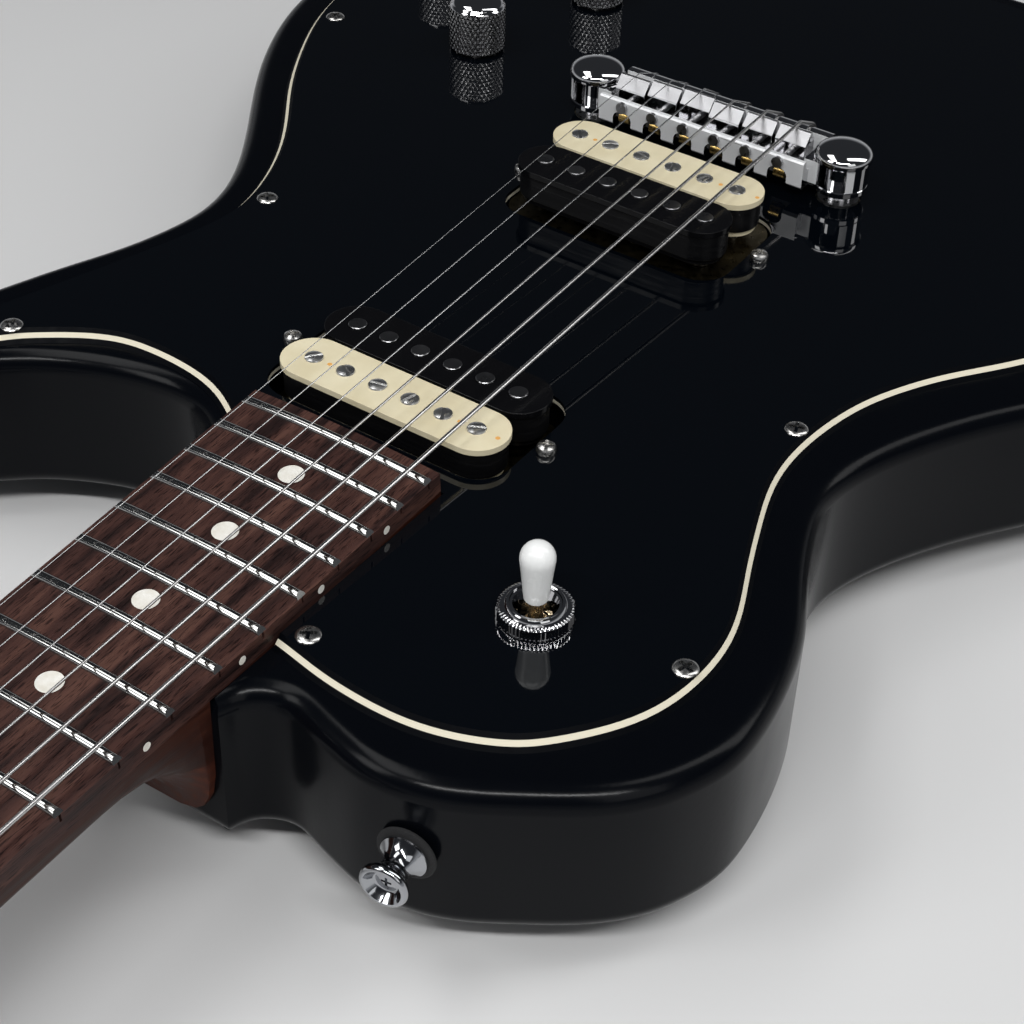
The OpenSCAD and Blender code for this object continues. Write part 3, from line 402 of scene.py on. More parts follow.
def place_split(tree, source="Object"):
    place = tree.nodes.new("ShaderNodeTexCoord")
    split = tree.nodes.new("ShaderNodeSeparateXYZ")
    tree.links.new(place.outputs[source], split.inputs["Vector"])
    return split


gloss_black = new_finish("gloss_black_sheet", (0.001, 0.0017, 0.003), 0.03)
vary_rough(gloss_black, cloudy(gloss_black, 40), 0.02, 0.05)
cut_plies = new_finish("cut_plies", (0.8, 0.75, 0.6), 0.3)
tree = cut_plies.node_tree
sheet_level = tree.nodes.new("ShaderNodeMapRange")
sheet_level.inputs["From Min"].default_value = body_top * mm
sheet_level.inputs["From Max"].default_value = guard_top * mm
tree.links.new(place_split(tree).outputs["Z"], sheet_level.inputs["Value"])
black_ply = (0.001, 0.0014, 0.0024)
cream_ply = (0.74, 0.69, 0.55)
ply_ramp = vary_colour(cut_plies, sheet_level.outputs["Result"],
                       [(0.0, black_ply), (1 / 3, cream_ply), (2 / 3, black_ply)])
ply_ramp.color_ramp.interpolation = "CONSTANT"
vary_rough(cut_plies, cloudy(cut_plies, 2), 0.4, 0.55)
set_shine(cut_plies, 0.04)

guard_middle = smooth_line(guard_line, 9)
guard_rings = []
for shift, height in ((slant, body_top), (-slant, guard_top)):
    guard_rings.append([Vector((spot.x, spot.y, height)) * mm for spot in pushed_out(guard_middle, shift)])
guard = lofted("guard_sheet", guard_rings)
pocket_half = board_end_half + board_gap
pocket_far_half = 27.4
pocket_far_y = 245
pocket_line = [(-pocket_half, board_end_y - board_gap), (pocket_half, board_end_y - board_gap),
               (pocket_far_half, pocket_far_y), (-pocket_far_half, pocket_far_y)]
holes = [drawn_slab("cutter", pocket_line, under_guard, above_guard)]
holes += [rounded_block(0, y, under_guard, above_guard, **pickup_hole) for y in pickup_y.values()]
holes += [round_bar(x, y, under_guard, above_guard, stud_hole_radius) for x, y in stud_spots]
holes += [round_bar(x, y, under_guard, above_guard, pot_hole_radius) for x, y in knob_spots.values()]
holes += [round_bar(*switch_spot, under_guard, above_guard, switch_hole_radius)]
cut_away(guard, holes)
settle(guard, 20)
dress(guard, gloss_black)
two_tone(guard, cut_plies, lambda face: abs(face.normal.z) < 0.95)
stand_for(guard, "guitar", "guard_black", "pickguard")

# Guard screws: nickel-plated wood screws with oval cross-slotted heads, countersunk into the sheet.
# The slots stop at whatever angle the screw went tight.
guard_screw_spots = [
    (101.7, 181.4), (88.9, 93.9), (143, -6.2), (-32.9, 227.7), (-104.5, 188.8), (-83.8, 100.3),
    (-131.5, 2), (-144, -76), (-92, -133), (0, -144.5), (94, -134.5), (151.5, -76)]


def turned(name, profile, steps=48, ring=False):
    clear_selection()
    bpy.ops.mesh.primitive_circle_add(vertices=len(profile), radius=0.01, fill_type="NOTHING")
    piece = name_piece(bpy.context.object, name)
    for vertex, (radius, height) in zip(piece.data.vertices, profile):
        vertex.co = (radius * mm, 0, height * mm)
    if not ring:
        last = len(profile) - 1
        pick_edges(piece, lambda a, b: False)
        bpy.ops.object.mode_set(mode="OBJECT")
        for edge in piece.data.edges:
            edge.select = set(edge.vertices) == {0, last}
        bpy.ops.object.mode_set(mode="EDIT")
        bpy.ops.mesh.delete(type="EDGE")
    bpy.ops.object.mode_set(mode="EDIT")
    bpy.ops.mesh.select_all(action="SELECT")
    bpy.ops.mesh.spin(steps=steps, angle=2 * math.pi, center=(0, 0, 0), axis=(0, 0, 1))
    bpy.ops.mesh.select_all(action="SELECT")
    bpy.ops.mesh.remove_doubles(threshold=0.000002)
    bpy.ops.mesh.select_all(action="SELECT")
    bpy.ops.mesh.normals_make_consistent(inside=False)
    bpy.ops.object.mode_set(mode="OBJECT")
    return piece


def slot_cutter(length, width, deep, top):
    clear_selection()
    bpy.ops.mesh.primitive_cube_add(size=1, location=(0, 0, (top - deep / 2 + 0.5) * mm),
                                    scale=(length * mm, width * mm, (deep + 1) * mm))
    bpy.ops.object.transform_apply(location=True, rotation=True, scale=True)
    return bpy.context.object


def cut_cross(head, length, width, deep, top):
    for turn in (0, 90):
        arm = slot_cutter(length, width, deep, top)
        arm.data.transform(Matrix.Rotation(math.radians(turn), 4, "Z"))
        cut_away(head, [arm])


def placed_copies(model, name, spots):
    copies = []
    for place in spots:
        copy = model.copy()
        copy.data = model.data.copy()
        bpy.context.collection.objects.link(copy)
        copy.data.transform(place)
        copies.append(copy)
    group = name_piece(join_up(copies), name)
    bpy.data.objects.remove(model, do_unlink=True)
    return group


def spot_matrix(x, y, z, turn=0.0):
    return Matrix.Translation(Vector((x, y, z)) * mm) @ Matrix.Rotation(math.radians(turn), 4, "Z")


nickel = new_finish("bright_nickel", (0.6, 0.59, 0.57), 0.25, 1.0)
vary_rough(nickel, cloudy(nickel, 1.5), 0.2, 0.32)

oval_head = turned("oval_head", [(0, -11), (1.2, -9.5), (1.2, -1.7), (2.95, -0.1), (2.95, 0.15), (2.75, 0.4),
                                 (2.2, 0.62), (1.4, 0.76), (0.6, 0.8), (0, 0.8)], 32)
cut_cross(oval_head, 3.9, 0.95, 1.3, 0.8)
settle(oval_head, 35)
guard_screws = placed_copies(oval_head, "oval_screws", [
    spot_matrix(x, y, guard_top, 37 * i + 12) for i, (x, y) in enumerate(guard_screw_spots)])
dress(guard_screws, nickel)
stand_for(guard_screws, "guitar", "screw_nickel", "guard_screws")

# Neck: mahogany with the heel built up from a glued-on block, carved to a rounded back and glued into
# the body. The headstock is flat, dropped behind the nut and drilled for the tuners.


def worked_copy(node, name, round_mm=0.0, angle=32, segments=3):
    take_up(frame["nodes"][node])
    bpy.ops.object.duplicate()
    piece = name_piece(bpy.context.object, name)
    bpy.ops.object.parent_clear(type="CLEAR_KEEP_TRANSFORM")
    bpy.ops.object.mode_set(mode="EDIT")
    bpy.ops.mesh.select_all(action="SELECT")
    bpy.ops.mesh.remove_doubles(threshold=0.000002)
    bpy.ops.mesh.customdata_custom_splitnormals_clear()
    bpy.ops.mesh.select_all(action="SELECT")
    bpy.ops.mesh.dissolve_limited(angle_limit=math.radians(0.6))
    bpy.ops.object.mode_set(mode="OBJECT")
    if round_mm:
        soften = piece.modifiers.new("soften", "BEVEL")
        soften.width = round_mm * mm
        soften.segments = segments
        soften.limit_method = "ANGLE"
        soften.angle_limit = math.radians(angle)
        apply_last(piece)
    settle(piece, angle)
    return piece


mahogany = new_finish("oiled_mahogany", (0.16, 0.055, 0.026), 0.42)
wood_streaks = cloudy(mahogany, 2.2, (1, 14, 1), 5.0)
wood_ramp = vary_colour(mahogany, wood_streaks, [
    (0.25, (0.016, 0.004, 0.0025)), (0.5, (0.028, 0.0078, 0.0045)), (0.75, (0.052, 0.0155, 0.008))])
heel_joint_z = 25
heel_end_y = 300
tree = mahogany.node_tree
split = place_split(tree)
below_joint = tree.nodes.new("ShaderNodeMath")
below_joint.operation = "LESS_THAN"
below_joint.inputs[1].default_value = heel_joint_z * mm
in_heel = tree.nodes.new("ShaderNodeMath")
in_heel.operation = "LESS_THAN"
in_heel.inputs[1].default_value = heel_end_y * mm
heel_block = tree.nodes.new("ShaderNodeMath")
heel_block.operation = "MULTIPLY"
lighter = tree.nodes.new("ShaderNodeMix")
lighter.data_type = "RGBA"
lighter.blend_type = "MULTIPLY"
lighter.inputs["B"].default_value = (1.7, 1.6, 1.5, 1)
tree.links.new(split.outputs["Z"], below_joint.inputs[0])
tree.links.new(split.outputs["Y"], in_heel.inputs[0])
tree.links.new(below_joint.outputs["Value"], heel_block.inputs[0])
tree.links.new(in_heel.outputs["Value"], heel_block.inputs[1])
tree.links.new(heel_block.outputs["Value"], lighter.inputs["Factor"])
tree.links.new(wood_ramp.outputs["Color"], lighter.inputs["A"])
tree.links.new(lighter.outputs["Result"], tree.nodes["Principled BSDF"].inputs["Base Color"])
set_shine(mahogany, 0.12)
vary_rough(mahogany, wood_streaks, 0.36, 0.52)
relief(mahogany, cloudy(mahogany, 0.35, (1, 22, 1), 2.0), 0.05, 0.6)
neck = worked_copy("neck", "mahogany_neck", 0.0, 40)
dress(neck, mahogany)
stand_for(neck, "guitar", "neck_mahogany", "neck")

# Fingerboard: rosewood planed to a gentle radius and slotted for the frets, with pearl dots let into its
# face and small plastic dots in its bass edge.
rosewood = new_finish("rosewood", (0.09, 0.04, 0.026), 0.45)
long_grain = cloudy(rosewood, 3.4, (1, 14, 1), 9.0)
board_ramp = vary_colour(rosewood, long_grain, [
    (0.36, (0.017, 0.009, 0.0085)), (0.45, (0.037, 0.017, 0.0145)),
    (0.54, (0.057, 0.0255, 0.0205)), (0.66, (0.088, 0.041, 0.031))])
open_pores = cloudy(rosewood, 0.32, (1, 13, 1), 1.5)
pored(rosewood, board_ramp, open_pores, (0.28, 0.26, 0.28))
vary_rough(rosewood, long_grain, 0.38, 0.55)
relief(rosewood, open_pores, 0.08, 0.7)
set_shine(rosewood, 0.15)
board = worked_copy("fingerboard", "rosewood_board", 0.0, 25)
dress(board, rosewood)
stand_for(board, "guitar", "board_rosewood", "fingerboard")

pearl = new_finish("pearl_inlay", (0.8, 0.78, 0.71), 0.22)
pearl_cloud = cloudy(pearl, 2.5, detail=4.0)
vary_colour(pearl, pearl_cloud, [(0.3, (0.72, 0.69, 0.61)), (0.7, (0.86, 0.85, 0.8))])
vary_rough(pearl, pearl_cloud, 0.18, 0.3)


def finish_node(node, material):
    piece = frame["nodes"][node]
    if piece.material_slots:
        for slot in piece.material_slots:
            slot.material = material
    else:
        piece.data.materials.append(material)


finish_node("position_markers", pearl)

# Frets: half-round nickel wire with a tang, pressed into slots across the board and bent to its radius.
# The ends are filed flush with the board's edges and slanted back, then the tops are polished.
scale_length = 628.65
fret_count = 22
neck_tilt = math.radians(2.58)
board_rise = 52.8
board_radius = 406.0
last_fret_y = scale_length * 2 ** (-fret_count / 12)
nut_s = scale_length - last_fret_y
board_over = 4.4
nut_half = 21.5


def on_neck(x, s, h):
    return Vector((x, last_fret_y + s * math.cos(neck_tilt) + h * math.sin(neck_tilt),
                   board_rise - s * math.sin(neck_tilt) + h * math.cos(neck_tilt))) * mm


def board_half(s):
    return board_end_half + (nut_half - board_end_half) * (s + board_over) / (nut_s + board_over)


fret_half_w = 1.3
fret_h = 1.2
fret_end_slant = 0.75
fret_end_gap = 0.15
fret_sunk = 0.05
fret_steps = 24
fret_sides = 12
fret_pieces = []
for n in range(1, fret_count + 1):
    s = scale_length * 2 ** (-n / 12) - last_fret_y
    half = board_half(s) - fret_end_gap
    rings = []
    for k in range(fret_steps + 1):
        along = -1 + 2 * k / fret_steps
        ring = []
        for j in range(fret_sides + 1):
            a = math.pi * j / fret_sides
            high = fret_h * math.sin(a)
            x = along * (half - fret_end_slant * high)
            h = high - fret_sunk - x * x / (2 * board_radius)
            ring.append(on_neck(x, s + fret_half_w * math.cos(a), h))
        rings.append(ring)
    fret_pieces.append(lofted("fret", rings))
frets = name_piece(join_up(fret_pieces), "fret_wires")
settle(frets, 50)
# The nickel is darker than bare nickel: painted shade that dims the floor's reflection in the fret flanks.
fret_nickel = new_finish("fret_nickel", (0.44, 0.44, 0.43), 0.12, 1.0)
vary_rough(fret_nickel, cloudy(fret_nickel, 7), 0.09, 0.15)
dress(frets, fret_nickel)
stand_for(frets, "guitar", "fret_nickel", "frets")

# Nut: a small block of bleached bone, sawn and polished, glued across the end of the board.
# A slot is filed in its top for each string.
bone = new_finish("bleached_bone", (0.8, 0.76, 0.64), 0.35)
bone_cloud = cloudy(bone, 1.2, (1, 3, 1), 4.0)
vary_colour(bone, bone_cloud, [(0.3, (0.7, 0.65, 0.52)), (0.7, (0.83, 0.79, 0.68))])
vary_rough(bone, bone_cloud, 0.28, 0.42)
nut = worked_copy("nut", "bone_nut", 0.0, 30)
dress(nut, bone)
stand_for(nut, "guitar", "nut_bone", "nut")

# Pickups: two plastic bobbins wound with wire and taped, side by side on a brass plate. One row of poles is
# slotted screws, the other plain steel slugs. Each pickup hangs on two screws that set its height.
cream_plastic = new_finish("cream_bobbin", (0.74, 0.67, 0.47), 0.33)
cream_cloud = cloudy(cream_plastic, 9, detail=5.0)
vary_colour(cream_plastic, cream_cloud, [(0.3, (0.69, 0.61, 0.41)), (0.7, (0.77, 0.7, 0.5))])
vary_rough(cream_plastic, cream_cloud, 0.28, 0.4)
black_plastic = new_finish("black_bobbin", (0.003, 0.003, 0.0036), 0.2)
set_shine(black_plastic, 0.25)
vary_rough(black_plastic, cloudy(black_plastic, 5), 0.14, 0.24)
black_tape = new_finish("black_coil_tape", (0.003, 0.003, 0.0036), 0.3)
set_shine(black_tape, 0.25)
tape_wraps = cloudy(black_tape, 1.1, (12, 12, 1), 2.0)
vary_rough(black_tape, tape_wraps, 0.25, 0.5)
relief(black_tape, tape_wraps, 0.2, 0.5)
# The brass is darkened far below bare brass: painted shade for the shadow under the bobbins.
plate_brass = new_finish("painted_shade_plate_brass", (0.07, 0.056, 0.03), 0.38, 1.0)
vary_rough(plate_brass, cloudy(plate_brass, 2), 0.24, 0.42)
pole_steel = new_finish("plated_pole_steel", (0.74, 0.74, 0.73), 0.28, 1.0)
vary_rough(pole_steel, cloudy(pole_steel, 8), 0.25, 0.32)
# The slugs' steel is darkened well below bare steel: painted shade for the dark reflections in their tops.
slug_steel = new_finish("painted_shade_slug_steel", (0.2, 0.2, 0.205), 0.2, 1.0)
vary_rough(slug_steel, cloudy(slug_steel, 5), 0.26, 0.36)
copper_end = new_finish("copper_wire_end", (0.75, 0.38, 0.1), 0.35)
vary_rough(copper_end, cloudy(copper_end, 0.3), 0.3, 0.5)
pole_pitch = {"neck": 9.9, "bridge": 10.3}
pickup_top = {"neck": 52.0, "bridge": 58.7}
screw_side = {"neck": 1, "bridge": -1}
pole_row = 8.9
slot_turns = (28, -62, 74, 15, -35, 52)
string_count = 6
middle = (string_count - 1) / 2
ear_x = 39.0
wire_steps = (2, -2, -3.12)
height_spots = []
for place in ("neck", "bridge"):
    body_name = place + "_pickup"
    for kind, material, slot in (
            ("screw_bobbin", cream_plastic, "bobbin_cream"), ("slug_bobbin", black_plastic, "bobbin_black"),
            ("coils", black_tape, "coil_tape"), ("baseplate", plate_brass, "plate_brass")):
        node = body_name + "_" + kind
        piece = worked_copy(node, node + "_shaped", 0.45 if "bobbin" in kind else 0.2)
        dress(piece, material)
        stand_for(piece, body_name, slot, node)
    y = pickup_y[place]
    top = pickup_top[place]
    pole_screw = turned("pole_screw", [
        (0, -19), (1.6, -18.6), (1.6, -2.4), (2.35, -2.2), (2.45, 0.1), (2.3, 0.4), (1.7, 0.62), (0.9, 0.74),
        (0, 0.76)], 48)
    cut_away(pole_screw, [slot_cutter(6, 0.9, 0.6, 0.76)])
    settle(pole_screw, 28)
    row_y = y + screw_side[place] * pole_row
    screws = placed_copies(pole_screw, body_name + "_pole_screws", [
        spot_matrix(pole_pitch[place] * (i - middle), row_y, top, slot_turns[i] * screw_side[place])
        for i in range(string_count)])
    dress(screws, pole_steel)
    slug = turned("slug", [(0, -14), (2.42, -14), (2.42, 0.25), (2.25, 0.42), (0.4, 0.46), (0, 0.46)], 32)
    settle(slug, 35)
    slugs = placed_copies(slug, body_name + "_slugs", [
        spot_matrix(pole_pitch[place] * (i - middle), y - screw_side[place] * pole_row, top)
        for i in range(string_count)])
    dress(slugs, slug_steel)
    stand_for(screws, body_name, "pole_steel", body_name + "_poles")
    stand_for(slugs, body_name, "pole_steel")
    wire_end = turned("wire_end", [(0, 0.02), (0.5, 0.02), (0.62, 0.0), (0.62, -0.3), (0, -0.3)], 16)
    wire_ends = placed_copies(wire_end, body_name + "_wire_end", [
        spot_matrix(step * pole_pitch[place], row_y, top + 0.03) for step in wire_steps])
    dress(wire_ends, copper_end)
    stand_for(wire_ends, body_name, "bobbin_cream")
    height_spots += [(side * ear_x, y) for side in (-1, 1)]
height_screw = turned("height_screw", [(0, -20), (1.45, -20), (1.45, 0), (2.3, 0), (2.5, 0.4), (2.5, 1.3),
                                       (2.2, 1.95), (1.4, 2.4), (0.6, 2.55), (0, 2.58)], 48)
cut_cross(height_screw, 3.6, 0.85, 1.2, 2.58)
settle(height_screw, 28)
height_screws = placed_copies(height_screw, "height_screws", [
    spot_matrix(x, y, guard_top, 25 + 31 * i) for i, (x, y) in enumerate(height_spots)])
dress(height_screws, nickel)
stand_for(height_screws, "guitar", "screw_nickel", "pickup_height_screws")
sleeve_rubber = new_finish("black_rubber", (0.02, 0.02, 0.021), 0.7)
vary_rough(sleeve_rubber, cloudy(sleeve_rubber, 1), 0.6, 0.8)
plate_thick = 1.5
# Each sleeve stands on its pickup's plate and reaches up to the body's face.
for place, y in pickup_y.items():
    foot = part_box(place + "_pickup_baseplate")[0].z / mm + plate_thick
    tall = body_top - foot
    tube = turned("sleeve", [(1.7, 0.1), (1.9, 0), (3.0, 0), (3.2, 0.2), (3.25, tall / 2), (3.2, tall - 0.2),
                             (3.0, tall), (1.9, tall), (1.7, tall - 0.1)], 32, ring=True)
    settle(tube, 40)
    sleeves = placed_copies(tube, place + "_pickup_sleeves", [
        spot_matrix(x, y, foot) for x in (-ear_x, ear_x)])
    dress(sleeves, sleeve_rubber)
    if place == "neck":
        stand_for(sleeves, "guitar", "sleeve_rubber", "pickup_sleeves")
    else:
        stand_for(sleeves, "guitar", "sleeve_rubber")
    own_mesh(sleeves)

# Bridge: one cast bar, chrome plated, hooked on two studs screwed into bushings in the body. The strings
# anchor in its front notches, pass under it and wrap over its back to six saddles, each on its own
# intonation screw.
chrome = new_finish("polished_chrome", (0.6, 0.6, 0.61), 0.06, 1.0)
vary_rough(chrome, cloudy(chrome, 25), 0.04, 0.07)
bar = worked_copy("bridge", "bridge_plated", 0.25)
# The lower front faces and the top of the rear lip take a pale satin grey in place of chrome: a painted
# highlight where the lamps catch the bar.
painted_highlight_front = new_finish("satin_painted_highlight_front", (0.8, 0.81, 0.82), 0.5, 0.35)
vary_rough(painted_highlight_front, cloudy(painted_highlight_front, 6), 0.45, 0.55)
saddle_top = new_finish("satin_saddle_top", (0.42, 0.42, 0.43), 0.4, 1.0)
vary_rough(saddle_top, cloudy(saddle_top, 4), 0.34, 0.44)
front_high = guard_top + 11.5
lip_low = guard_top + 12.1
lip_y = 4.3


# Faces that carry the painted highlight: the lower front faces and the top of the rear lip.
def on_painted_highlight_front(face):
    front = face.normal.y > 0.6 and face.center.z < front_high * mm
    lip = face.normal.z > 0.3 and face.center.z > lip_low * mm and face.center.y > lip_y * mm
    return front or lip


def dome(radius, foot, height, angles):
    turns = [math.radians(a) for a in angles]
    return [(radius * math.cos(t), foot + height * math.sin(t)) for t in turns]


dress(bar, chrome)
two_tone(bar, painted_highlight_front, on_painted_highlight_front)
stand_for(bar, "guitar", "hardware_chrome", "bridge")
stud_profile = [(0, -25), (4, -25), (4, 3.4), (7.4, 3.4), (7.7, 3.7), (7.7, 5.05), (7.4, 5.35),
                (4.5, 5.35), (4.5, 12.45), (7.9, 12.45), (8.3, 12.8), (8.35, 13.6)]
stud_profile += dome(8.3, 13.8, 3.6, range(8, 91, 8))
stud_profile.append((0, 17.4))
stud = turned("bridge_stud", stud_profile, 72)
settle(stud, 40)
stud_turns = (28, 88)
studs = placed_copies(stud, "bridge_studs_plated", [
    spot_matrix(*spot, guard_top, turn) for spot, turn in zip(stud_spots, stud_turns)])
dress(studs, chrome)
stand_for(studs, "guitar", "hardware_chrome", "bridge_studs")
for i in range(1, string_count + 1):
    node = "saddle_%d" % i
    piece = worked_copy(node, node + "_plated", 0.3)
    dress(piece, chrome)
    two_tone(piece, saddle_top, lambda face: face.normal.z > 0.3)
    stand_for(piece, node, "hardware_chrome", node)
plain_steel = new_finish("plain_steel", (0.45, 0.45, 0.46), 0.3, 1.0)
vary_rough(plain_steel, cloudy(plain_steel, 1.2), 0.22, 0.42)
for node in ("saddle_screws", "stud_bushings", "truss_rod", "pots"):
    finish_node(node, plain_steel)
ball_brass = new_finish("ball_brass", (0.72, 0.5, 0.18), 0.25, 1.0)
vary_rough(ball_brass, cloudy(ball_brass, 0.7), 0.2, 0.4)
finish_node("ball_ends", ball_brass)

# Strings: three plain steel wires and three with a fine wrap, stretched from the ball ends over the saddles
# and the nut to the posts. Each bends a little behind its saddle, so the saddle can slide back under it.
string_gauge = [1.168, 0.914, 0.66, 0.432, 0.33, 0.254]
wrap_pitch = [0.42, 0.34, 0.26]
setback = [3.6, 2.6, 1.6, 2.8, 1.8, 1.0]
saddle_pitch = 10.4
nut_pitch = 7.1
nut_action = 1.7
string_rise = 19.0
nose_y = -11.0
nose_z = guard_top + 9.2
nose_radius = 5.0
nose_steps = 12
wire_gap = 0.05
anchor_y = 1.2
anchor_z = guard_top + 6.6
wound_count = 3
post_x = 22.0
post_pitch = 40.0
post_radius = 3.0
first_post = 53
entry_drop = (-5.2, -6.2, -7.4)
saddle_room = 2.0
plain_string = new_finish("plain_string_steel", (0.66, 0.66, 0.66), 0.2, 1.0)
vary_rough(plain_string, cloudy(plain_string, 3), 0.15, 0.28)


def wound_finish(pitch):
    wound = new_finish("wound_string", (0.62, 0.61, 0.6), 0.26, 1.0)
    tree = wound.node_tree
    place = tree.nodes.new("ShaderNodeTexCoord")
    wave = tree.nodes.new("ShaderNodeTexWave")
    wave.bands_direction = "Y"
    wave.inputs["Scale"].default_value = 2 * math.pi / (20 * pitch * mm)
    tree.links.new(place.outputs["Object"], wave.inputs["Vector"])
    relief(wound, wave.outputs["Fac"], 0.012, 0.3)
    vary_rough(wound, cloudy(wound, 20), 0.24, 0.3)
    return wound


def string_way(i):
    x_nut = nut_pitch * (i - middle)
    x_bridge = saddle_pitch * (i - middle)
    gauge = string_gauge[i]
    row = min(i, string_count - 1 - i)
    side = -1 if i < middle else 1
    reach = post_radius + gauge / 2 + wire_gap
    way = [on_neck(side * (post_x - reach), nut_s + first_post + post_pitch * row, entry_drop[row]),
           on_neck(x_nut, nut_s, nut_action + gauge / 2 - x_nut**2 / (2 * board_radius))]
    crest = Vector((x_bridge, -setback[i], guard_top + string_rise - x_bridge**2 / (2 * board_radius))) * mm
    bend = crest + (crest - way[-1]).normalized() * saddle_room * mm
    way += [crest, bend]
    wrap = nose_radius + gauge / 2 + wire_gap
    arm = bend.yz / mm - Vector((nose_y, nose_z))
    leave = math.atan2(arm.y, arm.x) + math.acos(wrap / arm.length)
    enter = math.pi + math.asin((nose_z - anchor_z) / wrap)
    for k in range(nose_steps + 1):
        a = leave + (enter - leave) * k / nose_steps
        way.append(Vector((x_bridge, nose_y + wrap * math.cos(a), nose_z + wrap * math.sin(a))) * mm)
    way.append(Vector((x_bridge, anchor_y, anchor_z)) * mm)
    return way


string_pieces = []
for i in range(string_count):
    clear_selection()
    bpy.ops.curve.primitive_nurbs_path_add()
    wire = bpy.context.object
    wire.data.splines.clear()
    spline = wire.data.splines.new("POLY")
    way = string_way(i)
    spline.points.add(len(way) - 1)
    for point, spot in zip(spline.points, way):
        point.co = (*spot, 1)
    wire.data.bevel_depth = string_gauge[i] / 2 * mm
    wire.data.bevel_resolution = 4
    wire.data.use_fill_caps = True
    bpy.ops.object.convert(target="MESH")
    wire = name_piece(bpy.context.object, "string_%d" % (i + 1))
    bpy.ops.object.transform_apply(location=True, rotation=True, scale=True)
    settle(wire, 60)
    dress(wire, wound_finish(wrap_pitch[i]) if i < wound_count else plain_string)
    string_pieces.append(wire)
for i, wire in enumerate(string_pieces):
    if i == 0:
        stand_for(wire, "guitar", "string_steel", "strings")
    else:
        stand_for(wire, "guitar", "string_steel")

# Toggle switch: a brass lever in a threaded bushing, held to the guard by a knurled chrome nut and capped
# with a moulded white tip.
white_plastic = new_finish("white_tip", (0.83, 0.84, 0.83), 0.22)
vary_rough(white_plastic, cloudy(white_plastic, 3), 0.18, 0.3)
tip_shader = white_plastic.node_tree.nodes["Principled BSDF"]
tip_shader.inputs["Subsurface Weight"].default_value = 0.15
tip_shader.inputs["Subsurface Radius"].default_value = (0.002, 0.002, 0.002)
tip_profile = [(0, 0), (2.35, 0), (2.65, 0.15), (2.8, 0.5), (3.9, 10.4), (4.0, 11.2), (4.0, 11.8)]
tip_profile += dome(4, 11.8, 4, range(10, 91, 10))
tip = turned("moulded_tip", tip_profile, 64)
settle(tip, 40)
tip = placed_copies(tip, "moulded_tip", [spot_matrix(*switch_spot, guard_top + 5.2)])
dress(tip, white_plastic)
stand_for(tip, "switch", "tip_white", "switch_tip")
lever_brass = new_finish("lever_brass", (0.62, 0.5, 0.33), 0.25, 1.0)
vary_rough(lever_brass, cloudy(lever_brass, 0.6), 0.2, 0.34)
finish_node("switch_lever", lever_brass)

nut_ridges = 56


def ridged_ring(radius, z, depth, ridges, steps=4):
    ring = []
    count = ridges * steps
    for k in range(count):
        phase = k / steps % 1.0
        r = radius - depth * abs(2 * phase - 1)
        a = 2 * math.pi * k / count
        ring.append(Vector((r * math.cos(a), r * math.sin(a), z)) * mm)
    return ring


# Radius, height and ridge depth of each ring of the nut
nut_profile = [
    (5.9, 0, 0), (8.2, 0, 0), (8.75, 0.3, 0.35), (8.8, 0.5, 0.6), (8.8, 2.7, 0.6), (8.6, 3.1, 0.45),
    (8.05, 3.4, 0), (7.3, 3.55, 0), (6.95, 3.65, 0), (6.8, 4.0, 0), (6.55, 4.3, 0), (6.2, 4.4, 0),
    (5.9, 4.3, 0), (5.9, 0, 0)]
nut_rings = [ridged_ring(radius, z, depth, nut_ridges) for radius, z, depth in nut_profile]
switch_nut = lofted("knurled_switch_nut", nut_rings, capped=False)
settle(switch_nut, 32)
switch_nut = placed_copies(switch_nut, "knurled_switch_nut", [spot_matrix(*switch_spot, guard_top)])
dress(switch_nut, chrome)
stand_for(switch_nut, "guitar", "hardware_chrome", "switch_nut")
finish_node("switch_frame", chrome)

# Knobs: turned brass, chrome plated, with a diamond knurl round the barrel and a smooth domed top, pushed on
# quarter-inch shafts.
knob_radius = 8.9
knob_foot = 1.0
knurl_foot = 1.5
knurl_top = 14.6
barrel_top = 15.4
dome_top = 18.0
knurl_count = 34
knurl_pitch = 2.7
knurl_depth = 0.4
knurl_rows = 52
knurl_points = 6
knurl_columns = knurl_count * knurl_points
flat_share = 0.375


def knurl_ring(z):
    ring = []
    for k in range(knurl_columns):
        u = k / knurl_points
        one = abs(2 * ((u + z / knurl_pitch) % 1.0) - 1)
        two = abs(2 * ((u - z / knurl_pitch) % 1.0) - 1)
        groove = max(one, two)
        r = knob_radius
        if groove > flat_share:
            r = knob_radius - knurl_depth * min(1.0, 1.6 * groove - 0.6)
        a = 2 * math.pi * k / knurl_columns
        ring.append(Vector((r * math.cos(a), r * math.sin(a), z)) * mm)
    return ring


def plain_ring(radius, z):
    return ridged_ring(radius, z, 0, knurl_columns, steps=1)


knob_rings = [plain_ring(3.3, 4.0), plain_ring(7.7, 4.0), plain_ring(7.7, knob_foot),
              plain_ring(8.4, knob_foot), plain_ring(8.65, 1.25)]
for row in range(knurl_rows + 1):
    knob_rings.append(knurl_ring(knurl_foot + (knurl_top - knurl_foot) * row / knurl_rows))
knob_rings += [plain_ring(8.75, 14.75), plain_ring(8.6, 15.1), plain_ring(8.25, barrel_top)]
dome_angles = (8, 18, 28, 38, 48, 58, 68, 78, 86)
knob_rings += [plain_ring(r, z) for r, z in dome(8.1, barrel_top, dome_top - barrel_top, dome_angles)]
